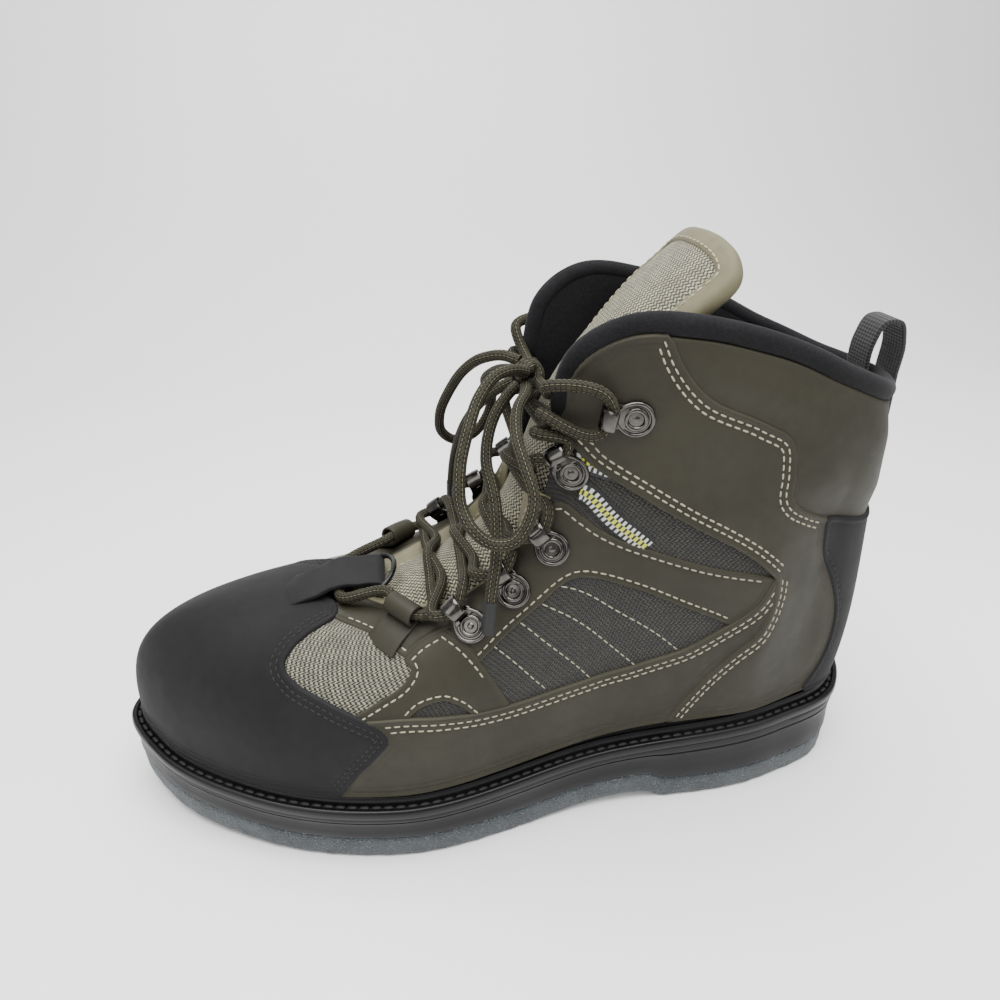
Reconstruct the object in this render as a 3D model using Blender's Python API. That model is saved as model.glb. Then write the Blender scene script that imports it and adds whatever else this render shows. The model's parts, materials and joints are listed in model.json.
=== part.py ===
"""Felt-soled wading boot for the left foot, as an assembly of separate pieces.

Units are metres. +Z is up, the toe points along +X and the outer side of the foot is +Y. The origin lies on
the floor under the middle of the heel. The upper, its overlays, the binding, the welt and the soles all come
from two functions: the outline of the sole, and the lasted surface, which runs in columns from the sole edge
up to the edge of the collar and throat.
"""

import math

import bmesh
import bpy
import numpy as np
from mathutils import Vector
from mathutils.geometry import delaunay_2d_cdt

MM = 0.001

# Driving dimensions of the sole, measured over the welt
SOLE_LENGTH = 315 * MM
BALL_WIDTH = 117 * MM
WAIST_WIDTH = 88 * MM
HEEL_WIDTH = 85 * MM
TOE_WIDTH = 96 * MM
HEEL_SEAT = 37 * MM
BALL_SEAT = 26.5 * MM
TOE_SPRING = 8 * MM
ARCH_LIFT = 4 * MM
FELT_THICKNESS = 11 * MM
FELT_INSET = 1.2 * MM
WELT_THICKNESS = 4.5 * MM
WELT_PROJECTION = 7 * MM
BEAD_HEIGHT = 2.6 * MM
INSOLE_THICKNESS = 4 * MM
HEEL_CENTRE = 45 * MM

# Driving dimensions of the upper, measured from the floor
COLLAR_HEIGHT = 200 * MM
INNER_FLAP_RISE = 5 * MM
UPPER_WALL = 2.6 * MM
OVERLAY_THICKNESS = 1.2 * MM
COLLAR_PAD_THICKNESS = 2.6 * MM
BINDING_HEIGHT = 9 * MM
BINDING_THICKNESS = 6 * MM
GAP = 0.3 * MM
OVERLAY_LIFT = 0.45 * MM

# Driving dimensions of the tongue, the lacing and the small pieces
TONGUE_THICKNESS = 5 * MM
LACE_DIAMETER = 4.2 * MM
LACE_CLEARANCE = 1.0 * MM
HOOP_WALL = 1.1 * MM
HOOP_WIDTH = 6 * MM
HOOP_REACH = 8 * MM
HOOP_LIFT = 0.15 * MM
FOLD_WIDTH = 13 * MM
FOLD_LIFT = 1.0 * MM
RIVET_RADIUS = 5.4 * MM
RIVET_HEIGHT = 2.2 * MM
WEBBING_THICKNESS = 1.6 * MM
PULL_WIDTH = 13 * MM
TAB_WIDTH = 19 * MM
RING_WIDTH = 24 * MM
RING_WIRE = 2.2 * MM
KNOT_DIAMETER = 9 * MM

# Counts that set how finely the round forms are divided
ROWS = 8

# The sole's outline: name, share of the length from the heel, width it follows, share of that width outwards
OUTLINE = [
    ("heel back", 0.000, HEEL_WIDTH, 0.000),
    ("outer heel corner", 0.042, HEEL_WIDTH, 0.345),
    ("outer heel side", 0.143, HEEL_WIDTH, 0.500),
    ("outer waist", 0.397, WAIST_WIDTH, 0.535),
    ("outer ball", 0.650, BALL_WIDTH, 0.506),
    ("outer toe side", 0.832, TOE_WIDTH, 0.463),
    ("outer toe corner", 0.952, TOE_WIDTH, 0.205),
    ("toe tip", 1.000, TOE_WIDTH, -0.045),
    ("inner toe corner", 0.965, TOE_WIDTH, -0.330),
    ("inner toe side", 0.863, TOE_WIDTH, -0.520),
    ("inner ball", 0.714, BALL_WIDTH, -0.487),
    ("inner waist", 0.412, WAIST_WIDTH, -0.455),
    ("inner heel side", 0.143, HEEL_WIDTH, -0.500),
    ("inner heel corner", 0.042, HEEL_WIDTH, -0.345),
]
TOE_TIP_ROW = 7
BREAST = (0.292, 0.327)

# Stations of the last, heel to toe: name, share round the side, then where the column of the upper ends as
# shares of the sole length, the ball width and the collar height, then how far the column rises before it
# turns, how far it swells outwards, how far it comes in along and across at its end, and its last rise
STATIONS = [
    ("heel back", 0.00, 0.030, 0.000, 0.842, 0.30, 0.035, 0.004, 0.000, 0.45),
    ("heel curve", 0.09, 0.066, 0.215, 0.856, 0.30, 0.028, 0.002, 0.000, 0.45),
    ("heel side", 0.18, 0.138, 0.300, 0.905, 0.32, 0.020, 0.004, 0.020, 0.42),
    ("ankle", 0.25, 0.225, 0.315, 0.965, 0.35, 0.020, 0.018, 0.040, 0.42),
    ("collar", 0.30, 0.310, 0.305, 0.998, 0.38, 0.020, 0.010, 0.050, 0.42),
    ("collar front", 0.345, 0.382, 0.280, 1.000, 0.40, 0.020, 0.000, 0.055, 0.42),
    ("corner", 0.385, 0.430, 0.250, 0.950, 0.40, 0.020, -0.015, 0.045, 0.40),
    ("shin", 0.43, 0.446, 0.240, 0.850, 0.42, 0.020, -0.030, 0.040, 0.36),
    ("bend", 0.49, 0.460, 0.240, 0.715, 0.45, 0.020, -0.010, 0.080, 0.32),
    ("instep", 0.56, 0.495, 0.240, 0.590, 0.50, 0.020, 0.035, 0.125, 0.26),
    ("lacing", 0.65, 0.548, 0.232, 0.500, 0.54, 0.018, 0.090, 0.145, 0.18),
    ("eyestay", 0.745, 0.608, 0.185, 0.462, 0.58, 0.014, 0.125, 0.150, 0.09),
    ("vamp", 0.87, 0.660, 0.100, 0.452, 0.66, 0.006, 0.190, 0.130, 0.04),
    ("toe", 1.00, 0.680, 0.000, 0.450, 0.72, 0.000, 0.270, 0.000, 0.01),
]

# Columns of the upper and sole as shares round the side, closer at heel, collar corner and throat
COLUMN_SHARES = [
    0.000, 0.045, 0.090, 0.135, 0.180, 0.220, 0.260, 0.295, 0.325, 0.355, 0.385, 0.415, 0.450,
    0.485, 0.520, 0.555, 0.590, 0.635, 0.680, 0.725, 0.775, 0.825, 0.870, 0.915, 0.960, 1.000,
]

# Seams of the overlays on one side: share round the side from heel to toe, share up the column
SEAMS = {
    "cap edge": [
        ("welt", 0.693, 0.030),
        ("foot of tip", 0.671, 0.127),
        ("below tip", 0.648, 0.224),
        ("tip", 0.638, 0.285),
        ("above tip", 0.647, 0.336),
        ("band end", 0.666, 0.378),
        ("flank", 0.681, 0.405),
        ("window low", 0.726, 0.477),
        ("window side", 0.770, 0.540),
        ("window front", 0.801, 0.610),
        ("window top", 0.819, 0.700),
        ("shoulder", 0.832, 0.790),
        ("neck", 0.846, 0.880),
        ("tab foot", 0.875, 0.915),
        ("tab end", 0.905, 0.930),
    ],
    "band top": [
        ("cap", 0.666, 0.378),
        ("front", 0.624, 0.369),
        ("dip", 0.581, 0.330),
        ("ball", 0.535, 0.283),
        ("strap foot", 0.505, 0.260),
        ("waist", 0.460, 0.237),
        ("low point", 0.408, 0.216),
        ("rise", 0.362, 0.210),
        ("sweep", 0.319, 0.233),
        ("saddle foot", 0.268, 0.323),
        ("ankle", 0.236, 0.405),
        ("meeting point", 0.217, 0.498),
    ],
    "counter seam": [
        ("meeting point", 0.217, 0.498),
        ("turn", 0.215, 0.430),
        ("back", 0.231, 0.315),
        ("slant", 0.262, 0.228),
        ("lower slant", 0.295, 0.130),
        ("welt", 0.324, 0.030),
    ],
    "strap front": [
        ("cap", 0.679, 0.402),
        ("low", 0.657, 0.469),
        ("side", 0.637, 0.536),
        ("middle", 0.635, 0.596),
        ("top", 0.655, 0.675),
    ],
    "strap top": [
        ("front", 0.655, 0.675),
        ("point", 0.647, 0.741),
        ("back", 0.627, 0.778),
    ],
    "strap back": [
        ("top", 0.627, 0.778),
        ("upper", 0.597, 0.690),
        ("saddle", 0.554, 0.518),
        ("lower", 0.538, 0.437),
        ("foot", 0.505, 0.260),
    ],
    "small window": [
        ("back", 0.543, 0.290),
        ("rise", 0.565, 0.373),
        ("crown", 0.589, 0.425),
        ("front", 0.609, 0.422),
        ("foot", 0.623, 0.369),
    ],
    "arm": [
        ("strap", 0.655, 0.675),
        ("middle", 0.707, 0.777),
        ("slope", 0.768, 0.844),
        ("cap", 0.846, 0.880),
    ],
    "ankle low": [
        ("throat", 0.506, 0.985),
        ("edge", 0.465, 0.880),
        ("front", 0.410, 0.700),
        ("slope", 0.348, 0.553),
        ("level", 0.295, 0.500),
        ("meeting point", 0.217, 0.498),
    ],
    "ankle high": [
        ("throat", 0.444, 0.985),
        ("edge", 0.420, 0.920),
        ("front", 0.370, 0.760),
        ("middle", 0.310, 0.628),
        ("rear", 0.240, 0.535),
        ("meeting point", 0.217, 0.498),
    ],
    "saddle low": [
        ("band", 0.268, 0.323),
        ("rear", 0.318, 0.375),
        ("middle", 0.395, 0.500),
        ("crown", 0.456, 0.590),
        ("front", 0.528, 0.580),
        ("strap", 0.554, 0.518),
    ],
    "collar seam": [
        ("topline", 0.320, 0.985),
        ("drop", 0.313, 0.947),
        ("bend", 0.294, 0.891),
        ("shelf", 0.252, 0.860),
        ("shelf end", 0.227, 0.838),
        ("back", 0.221, 0.778),
        ("foot", 0.218, 0.713),
        ("heel shelf", 0.189, 0.685),
        ("backstay", 0.166, 0.678),
    ],
    "backstay edge": [
        ("top", 0.166, 0.678),
        ("tab", 0.158, 0.592),
        ("narrowing", 0.138, 0.480),
        ("middle", 0.120, 0.330),
        ("lower", 0.124, 0.140),
        ("welt", 0.143, 0.030),
    ],
}
TOPLINE_SHARE = 0.985
WELT_SHARE = 0.030


def through(knots, values, at, period=None):
    """A smooth curve through the values, read at the given places."""
    k = np.asarray(knots, float)
    v = np.asarray(values, float)
    if v.ndim == 1:
        v = v[:, None]
    at = np.asarray(at, float)
    if period:
        k = np.r_[k[-2] - period, k[-1] - period, k, k[0] + period, k[1] + period]
        v = np.r_[v[-2:], v, v[:2]]
        at = np.mod(at - k[2], period) + k[2]
    step = np.diff(k)
    slope = np.diff(v, axis=0) / step[:, None]
    tangent = np.empty_like(v)
    tangent[1:-1] = (step[1:, None] * slope[:-1] + step[:-1, None] * slope[1:]) / (step[:-1] + step[1:])[:, None]
    tangent[0] = slope[0]
    tangent[-1] = slope[-1]
    i = np.clip(np.searchsorted(k, at, side="right") - 1, 0, len(step) - 1)
    t = ((at - k[i]) / step[i])[:, None]
    h = step[i][:, None]
    start = v[i] * (1 + 2 * t) * (1 - t) ** 2 + tangent[i] * h * t * (1 - t) ** 2
    end = v[i + 1] * t * t * (3 - 2 * t) + tangent[i + 1] * h * t * t * (t - 1)
    return (start + end).squeeze()


def smooth_line(points, spacing):
    """A smooth line through hand-chosen points, divided evenly by arc length."""
    points = np.asarray(points, float)
    knots = np.r_[0.0, np.cumsum(np.linalg.norm(np.diff(points, axis=0), axis=1))]
    fine = through(knots, points, np.linspace(0.0, knots[-1], 40 * len(points)))
    run = np.r_[0.0, np.cumsum(np.linalg.norm(np.diff(fine, axis=0), axis=1))]
    count = max(2, int(round(run[-1] / spacing)) + 1)
    even = np.linspace(0.0, run[-1], count)
    return np.stack([np.interp(even, run, fine[:, c]) for c in range(fine.shape[1])], axis=1)


def smoothstep(t):
    t = np.clip(t, 0.0, 1.0)
    return t * t * (3 - 2 * t)


# The sole's outline and heights

OUTLINE_POINTS = np.array([(along * SOLE_LENGTH, width * across) for _, along, width, across in OUTLINE])
OUTLINE_RUN = np.r_[0.0, np.cumsum(np.linalg.norm(np.diff(np.r_[OUTLINE_POINTS, OUTLINE_POINTS[:1]], axis=0), axis=1))]
OUTLINE_PERIMETER = OUTLINE_RUN[-1]
OUTLINE_TOE = OUTLINE_RUN[TOE_TIP_ROW]


def outline(u, inset=0.0):
    """The outline from the heel back round the outer side to the toe tip (0.5) and home along the inner side."""
    u = np.mod(np.asarray(u, float), 1.0)
    outer = u / 0.5 * OUTLINE_TOE
    inner = OUTLINE_TOE + (u - 0.5) / 0.5 * (OUTLINE_PERIMETER - OUTLINE_TOE)
    s = np.where(u <= 0.5, outer, inner)
    e = 1e-4 * OUTLINE_PERIMETER
    point = through(OUTLINE_RUN[:-1], OUTLINE_POINTS, s, OUTLINE_PERIMETER)
    ahead = through(OUTLINE_RUN[:-1], OUTLINE_POINTS, s + e, OUTLINE_PERIMETER)
    behind = through(OUTLINE_RUN[:-1], OUTLINE_POINTS, s - e, OUTLINE_PERIMETER)
    t = ahead - behind
    t = t / np.linalg.norm(t, axis=-1, keepdims=True)
    outward = np.stack([-t[..., 1], t[..., 0]], axis=-1)
    return point - inset * outward


def spring(x):
    return TOE_SPRING * np.clip((x / SOLE_LENGTH - 0.70) / 0.30, 0.0, 1.0) ** 2


def ground(x):
    """Height of the walking face: flat heel, breast step, lifted arch, flat forefoot and toe spring."""
    share = x / SOLE_LENGTH
    breast = smoothstep((share - BREAST[0]) / (BREAST[1] - BREAST[0]))
    arch = 1.0 - smoothstep((share - 0.34) / 0.17)
    return ARCH_LIFT * breast * arch + spring(x)


def bed(x):
    """Height of the top of the midsole, where the lower edge of the upper meets it."""
    return BALL_SEAT + (HEEL_SEAT - BALL_SEAT) * smoothstep((0.66 - x / SOLE_LENGTH) / 0.56) + spring(x)


# The lasted surface

STATION_SHARES = np.array([row[1] for row in STATIONS])
STATION_VALUES = np.array([row[2:] for row in STATIONS])
SIDE_FLIP = np.array([1, -1, 1, 1, 1, 1, -1, 1])
ALL_SHARES = np.r_[-STATION_SHARES[2:0:-1], STATION_SHARES, 2 - STATION_SHARES[-2:-4:-1]]
ALL_VALUES = np.r_[STATION_VALUES[2:0:-1] * SIDE_FLIP, STATION_VALUES, STATION_VALUES[-2:-4:-1] * SIDE_FLIP]


def lasted(u, v):
    """Outer face of the bare upper: u runs round the sole, v from the sole edge to the collar or throat."""
    u, v = np.broadcast_arrays(np.mod(np.asarray(u, float), 1.0), np.asarray(v, float))
    shape = u.shape
    u = u.ravel()
    v = v.ravel()
    side = np.where(u <= 0.5, 1.0, -1.0)
    share = np.where(u <= 0.5, u / 0.5, (1 - u) / 0.5)
    row = through(ALL_SHARES, ALL_VALUES, share).reshape(len(u), -1)
    foot_plan = outline(u, WELT_PROJECTION)
    foot = np.c_[foot_plan, bed(foot_plan[:, 0]) + GAP]
    flap = INNER_FLAP_RISE * np.exp(-((share - 0.37) / 0.08) ** 2) * (side < 0)
    top = np.c_[row[:, 0] * SOLE_LENGTH, side * row[:, 1] * BALL_WIDTH, row[:, 2] * COLLAR_HEIGHT + flap]
    rise, swell, along, across_lean, arrive = row[:, 3], row[:, 4], row[:, 5], row[:, 6], row[:, 7]
    plan = top[:, :2] - foot[:, :2]
    reach = np.maximum(np.linalg.norm(plan, axis=1), 1e-6)[:, None]
    plan = plan / reach
    height = top[:, 2] - foot[:, 2]
    lower = foot + np.c_[-plan * (swell * SOLE_LENGTH)[:, None], rise * height]
    upper = top + np.c_[along * SOLE_LENGTH, side * across_lean * BALL_WIDTH, -arrive * height]
    t = v[:, None]
    point = foot * (1 - t) ** 3 + 3 * lower * t * (1 - t) ** 2 + 3 * upper * t * t * (1 - t) + top * t ** 3
    return point.reshape(*shape, 3)


def share_at(x, inner):
    """The place on one side of the outline that lies at the given distance from the heel."""
    low, high = (1.0, 0.5) if inner else (0.0, 0.5)
    for _ in range(40):
        middle = (low + high) / 2
        if outline(np.array([middle]))[0] < x:
            low = middle
        else:
            high = middle
    return (low + high) / 2


def column_places():
    """The outer side's columns, two of them moved to the breast step, each matched by one on the inner side."""
    outer = np.array(COLUMN_SHARES) * 0.5
    for along in BREAST:
        place = share_at(along * SOLE_LENGTH, False)
        outer[np.argmin(np.abs(outer - place))] = place
    inner = [share_at(x, True) for x in outline(outer[1:-1])[:, 0]]
    return np.r_[outer, inner[::-1], 1.0]


GRID_U = column_places()
COLUMNS = len(GRID_U) - 1
GRID_V = np.linspace(0.0, 1.0, ROWS + 1)
GRID_POINTS = lasted(GRID_U[:, None], GRID_V[None, :])


def facet_normals(grid):
    """Unit normals at the grid's points, facing out of the boot, from the facets that meet there."""
    ahead = np.roll(grid[:-1], -1, axis=0)
    here = grid[:-1]
    first = np.cross(ahead[:, 1:] - ahead[:, :-1], here[:, :-1] - ahead[:, :-1])
    second = np.cross(here[:, :-1] - here[:, 1:], ahead[:, 1:] - here[:, 1:])
    total = np.zeros_like(here)
    total[:, :-1] += first + second
    total[:, 1:] += second + first
    total[:, :-1] += np.roll(first, 1, axis=0)
    total[:, 1:] += np.roll(first + second, 1, axis=0)
    total = -total / np.linalg.norm(total, axis=-1, keepdims=True)
    return np.concatenate([total, total[:1]])


GRID_NORMALS = facet_normals(GRID_POINTS)


def between(field, u, v):
    """A grid quantity read between the columns and rows, linear over each facet."""
    u = np.mod(np.asarray(u, float), 1.0)
    b = np.clip(np.asarray(v, float), 0.0, 1.0) * ROWS
    i = np.clip(np.searchsorted(GRID_U, u, side="right") - 1, 0, COLUMNS - 1)
    j = np.clip(b.astype(int), 0, ROWS - 1)
    a = ((u - GRID_U[i]) / (GRID_U[i + 1] - GRID_U[i]))[..., None]
    b = (b - j)[..., None]
    p00, p10, p01, p11 = field[i, j], field[i + 1, j], field[i, j + 1], field[i + 1, j + 1]
    return np.where(a > b, p00 + a * (p10 - p00) + b * (p11 - p10), p00 + b * (p01 - p00) + a * (p11 - p01))


def laid(u, v, lift):
    """A point on the facets of the upper, lifted off them along the surface normal."""
    return between(GRID_POINTS + lift * GRID_NORMALS, u, v)


def outward(u, v):
    """Unit normal of the upper, facing out of the boot."""
    normal = between(GRID_NORMALS, u, v)
    return normal / np.linalg.norm(normal, axis=-1, keepdims=True)


# Objects and materials

for old in list(bpy.data.objects):
    bpy.data.objects.remove(old, do_unlink=True)


def material(name, colour, roughness, metallic=0.0):
    mat = bpy.data.materials.new(name)
    mat.use_nodes = True
    shader = mat.node_tree.nodes["Principled BSDF"]
    shader.inputs["Base Color"].default_value = (*colour, 1.0)
    shader.inputs["Roughness"].default_value = roughness
    shader.inputs["Metallic"].default_value = metallic
    mat.diffuse_color = (*colour, 1.0)
    return mat


def placed(points):
    """From measures off the heel back to the shared frame, whose origin is under the middle of the heel."""
    points = np.array(points, float)
    points[..., 0] -= HEEL_CENTRE
    return points


def solid(name, points, faces, mat, angle=40.0):
    mesh = bpy.data.meshes.new(name)
    mesh.from_pydata([tuple(p) for p in placed(points)], [], [tuple(int(i) for i in f) for f in faces])
    bm = bmesh.new()
    bm.from_mesh(mesh)
    bmesh.ops.remove_doubles(bm, verts=bm.verts, dist=1e-7)
    bmesh.ops.triangulate(bm, faces=[f for f in bm.faces if len(f.verts) > 4])
    bmesh.ops.recalc_face_normals(bm, faces=bm.faces)
    if bm.calc_volume(signed=True) < 0:
        bmesh.ops.reverse_faces(bm, faces=bm.faces)
    bm.to_mesh(mesh)
    bm.free()
    obj = bpy.data.objects.new(name, mesh)
    bpy.context.scene.collection.objects.link(obj)
    mesh.materials.append(mat)
    mesh.shade_smooth()
    mesh.set_sharp_from_angle(angle=math.radians(angle))
    return obj


def united(name, pieces):
    """Pieces that overlap, welded into one body."""
    first = pieces[0]
    for other in pieces[1:]:
        join = first.modifiers.new("join", "BOOLEAN")
        join.operation = "UNION"
        join.object = other
    bpy.context.view_layer.update()
    graph = bpy.context.evaluated_depsgraph_get()
    mesh = bpy.data.meshes.new_from_object(first.evaluated_get(graph))
    mat = first.data.materials[0]
    for piece in pieces:
        bpy.data.objects.remove(piece, do_unlink=True)
    mesh.name = name
    mesh.materials.clear()
    mesh.materials.append(mat)
    obj = bpy.data.objects.new(name, mesh)
    bpy.context.scene.collection.objects.link(obj)
    mesh.shade_smooth()
    mesh.set_sharp_from_angle(angle=math.radians(40.0))
    return obj


def ring_stack(name, rings, mat, closed=False, angle=40.0):
    """Rings of equal count joined in order; open stacks are capped across, closed ones meet their first ring."""
    count = len(rings[0])
    points = np.concatenate(rings)
    faces = []
    pairs = list(zip(range(len(rings) - 1), range(1, len(rings))))
    if closed:
        pairs.append((len(rings) - 1, 0))
    for low, high in pairs:
        for i in range(count):
            j = (i + 1) % count
            faces.append((low * count + i, low * count + j, high * count + j, high * count + i))
    if not closed:
        for base in (0, (len(rings) - 1) * count):
            faces.append((base, base + 1, base + count - 1))
            for i in range(1, (count - 1) // 2):
                faces.append((base + i, base + i + 1, base + count - i - 1, base + count - i))
            if count % 2 == 0:
                half = base + count // 2
                faces.append((half - 1, half, half + 1))
    return solid(name, points, faces, mat, angle)


def slab(name, outer, thickness, mat, angle=40.0):
    """A sheet from a grid of points on its outer face, thickened inwards."""
    outer = np.asarray(outer, float)
    rows, cols = outer.shape[:2]
    normal = np.cross(np.gradient(outer, axis=1), np.gradient(outer, axis=0))
    normal = normal / np.linalg.norm(normal, axis=-1, keepdims=True)
    inner = outer - thickness * normal
    points = np.concatenate([outer.reshape(-1, 3), inner.reshape(-1, 3)])
    size = rows * cols
    faces = []
    for i in range(rows - 1):
        for j in range(cols - 1):
            a, b, c, d = i * cols + j, (i + 1) * cols + j, (i + 1) * cols + j + 1, i * cols + j + 1
            faces.append((a, b, c, d))
            faces.append((size + a, size + d, size + c, size + b))
    rim = [(i, 0) for i in range(rows)] + [(rows - 1, j) for j in range(1, cols)]
    rim += [(i, cols - 1) for i in range(rows - 2, -1, -1)] + [(0, j) for j in range(cols - 2, 0, -1)]
    ids = [i * cols + j for i, j in rim]
    for a, b in zip(ids, ids[1:] + ids[:1]):
        faces.append((a, b, size + b, size + a))
    return solid(name, points, faces, mat, angle)


def inside(points, loop):
    """Which points of the plane lie inside the closed loop."""
    x, y = points[:, 0], points[:, 1]
    hit = np.zeros(len(points), bool)
    for (x0, y0), (x1, y1) in zip(loop, np.roll(loop, -1, axis=0)):
        cross = (y0 > y) != (y1 > y)
        rise = y1 - y0 if y1 != y0 else 1e-12
        hit ^= cross & (x < x0 + (y - y0) / rise * (x1 - x0))
    return hit


def shrunk(loop, by):
    """The loop moved inwards all round by the given distance."""
    ahead = np.roll(loop, -1, axis=0) - loop
    behind = loop - np.roll(loop, 1, axis=0)
    ahead = ahead / np.linalg.norm(ahead, axis=1, keepdims=True)
    behind = behind / np.linalg.norm(behind, axis=1, keepdims=True)
    left = np.stack([-(ahead + behind)[:, 1], (ahead + behind)[:, 0]], axis=1)
    left = left / np.maximum(np.linalg.norm(left, axis=1, keepdims=True), 1e-9)
    area = np.sum(loop[:, 0] * np.roll(loop[:, 1], -1) - np.roll(loop[:, 0], -1) * loop[:, 1])
    return loop + left * by * (1 if area > 0 else -1)


FLAT = np.array([OUTLINE_PERIMETER, 130 * MM])
SEAM_SPACING = 15 * MM
SEAM_GAP = 0.25 * MM


def seam(name, side, first=None, last=None, backward=False, heel=False):
    """A seam, or its run between two rows, as places (u, v); heel panels count the inner side below zero."""
    names = [row[0] for row in SEAMS[name]]
    rows = np.array([(share * 0.5, up) for _, share, up in SEAMS[name]]) * FLAT
    knots = np.r_[0.0, np.cumsum(np.linalg.norm(np.diff(rows, axis=0), axis=1))]
    start = names.index(first) if first else 0
    stop = names.index(last) if last else len(names) - 1
    places = []
    for k in range(start, stop):
        steps = max(1, int(math.ceil((knots[k + 1] - knots[k]) / SEAM_SPACING - 0.2)))
        places.extend(np.linspace(knots[k], knots[k + 1], steps, endpoint=False))
    places.append(knots[stop])
    line = through(knots, rows, places) / FLAT
    if side < 0:
        line[:, 0] = -line[:, 0] if heel else 1 - line[:, 0]
    return line[::-1] if backward else line


def tidy_loop(lines):
    """Seams joined end to end into one loop, with no point twice."""
    loop = [lines[0][0]]
    for line in lines:
        for point in line:
            if np.linalg.norm((point - loop[-1]) * FLAT) > 1.2 * MM:
                loop.append(point)
    if np.linalg.norm((loop[0] - loop[-1]) * FLAT) <= 1.2 * MM:
        loop.pop()
    return np.array(loop)


def panel(name, lines, mat, low=OVERLAY_LIFT, high=OVERLAY_LIFT + OVERLAY_THICKNESS):
    """An overlay: the space between two larger forms of the upper, cut along its seams."""
    loop = shrunk(tidy_loop(lines) * FLAT, SEAM_GAP)
    first, last = loop[:, 0].min() / FLAT[0], loop[:, 0].max() / FLAT[0]
    columns = np.r_[GRID_U[:-1] - 1, GRID_U]
    columns = columns[(columns > first - 0.06) & (columns < last + 0.06)]
    coords = [Vector(p) for p in loop]
    edges = [(i, (i + 1) % len(loop)) for i in range(len(loop))]
    base = len(coords)
    for u in columns:
        for v in GRID_V:
            coords.append(Vector((u * FLAT[0], v * FLAT[1])))
    rows = len(GRID_V)
    for i in range(len(columns)):
        for j in range(rows):
            here = base + i * rows + j
            if i + 1 < len(columns):
                edges.append((here, here + rows))
            if j + 1 < rows:
                edges.append((here, here + 1))
            if i + 1 < len(columns) and j + 1 < rows:
                edges.append((here, here + rows + 1))
    cut = delaunay_2d_cdt(coords, edges, [], 0, 1e-6)
    flat = np.array([tuple(p) for p in cut[0]])
    triangles = np.array(cut[2])
    keep = inside(flat[triangles].mean(axis=1), loop)
    triangles = triangles[keep]
    used = np.unique(triangles)
    renumber = -np.ones(len(flat), int)
    renumber[used] = np.arange(len(used))
    triangles = renumber[triangles]
    places = flat[used] / FLAT
    under = laid(places[:, 0], places[:, 1], low)
    over = laid(places[:, 0], places[:, 1], high)
    size = len(used)
    faces = [tuple(t + size) for t in triangles] + [tuple(t[::-1]) for t in triangles]
    directed = {(a, b) for t in triangles for a, b in ((t[0], t[1]), (t[1], t[2]), (t[2], t[0]))}
    for a, b in directed:
        if (b, a) not in directed:
            faces.append((a, b, b + size, a + size))
    return solid(name, np.concatenate([under, over]), faces, mat, 35.0)


# Materials
FELT = material("felt", (0.075, 0.085, 0.095), 0.95)
RUBBER = material("black_rubber", (0.022, 0.022, 0.024), 0.62)
WELT_RUBBER = material("welt_rubber", (0.016, 0.016, 0.018), 0.5)
LINING = material("dark_lining", (0.03, 0.03, 0.032), 0.9)
MESH_CLOTH = material("light_mesh", (0.36, 0.37, 0.32), 0.9)
SYNTHETIC = material("olive_synthetic", (0.10, 0.095, 0.075), 0.6)
NUBUCK = material("black_nubuck", (0.028, 0.027, 0.029), 0.8)
PADDING = material("black_padding", (0.02, 0.02, 0.021), 0.85)
TONGUE_CLOTH = material("grey_tongue_mesh", (0.33, 0.33, 0.29), 0.9)
WEBBING = material("black_webbing", (0.02, 0.02, 0.02), 0.8)
GUNMETAL = material("gunmetal", (0.23, 0.22, 0.21), 0.3, 1.0)
CORD = material("olive_cord", (0.115, 0.11, 0.085), 0.8)
RING_METAL = material("black_ring", (0.03, 0.03, 0.03), 0.35, 0.4)

# Sole pieces

SOLE_U = GRID_U[:-1]


def sole_ring(inset, height):
    """A ring round the sole at one inset, its height a function of the distance from the heel."""
    plan = outline(SOLE_U, inset)
    return np.c_[plan, height(plan[:, 0])]


def felt_top(x):
    return ground(x) + FELT_THICKNESS


def ledge(x):
    return bed(x) - WELT_THICKNESS


ring_stack("outsole_felt", [
    sole_ring(FELT_INSET + 0.8 * MM, ground),
    sole_ring(FELT_INSET, lambda x: ground(x) + 0.8 * MM),
    sole_ring(FELT_INSET, felt_top),
], FELT)

# Midsole wall: name, share of the height from felt to ledge, inset
MIDSOLE_WALL = [
    ("under edge", 0.00, 1.6 * MM),
    ("lower wall", 0.14, 0.8 * MM),
    ("waist", 0.60, 1.3 * MM),
    ("upper wall", 0.90, 0.4 * MM),
    ("shoulder", 1.00, 0.9 * MM),
]


def wall_height(share):
    return lambda x: (felt_top(x) + GAP) * (1 - share) + ledge(x) * share


midsole_rings = [sole_ring(inset, wall_height(share)) for _, share, inset in MIDSOLE_WALL]
bed_inset = WELT_PROJECTION - 0.5 * MM
midsole_rings.append(sole_ring(bed_inset, ledge))
midsole_rings.append(sole_ring(bed_inset, bed))
ring_stack("midsole", midsole_rings, RUBBER)

# Welt section: name, inset, height over the bed; the foot rows stand on the ledge instead
WELT_SECTION = [
    ("outer foot", 0.0 * MM, None),
    ("outer wall", 0.0 * MM, -0.9 * MM),
    ("top edge", 0.6 * MM, -0.2 * MM),
    ("groove outer", 2.3 * MM, -0.2 * MM),
    ("groove floor", 2.9 * MM, -1.2 * MM),
    ("groove inner", 3.6 * MM, -0.1 * MM),
    ("bead crown", 5.0 * MM, BEAD_HEIGHT),
    ("bead back", 5.75 * MM, BEAD_HEIGHT - 0.3 * MM),
    ("inner foot", 6.2 * MM, None),
]


def welt_height(rise):
    return (lambda x: ledge(x) + GAP) if rise is None else (lambda x: bed(x) + rise)


ring_stack("welt", [sole_ring(inset, welt_height(rise)) for _, inset, rise in WELT_SECTION], WELT_RUBBER, closed=True)

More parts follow.
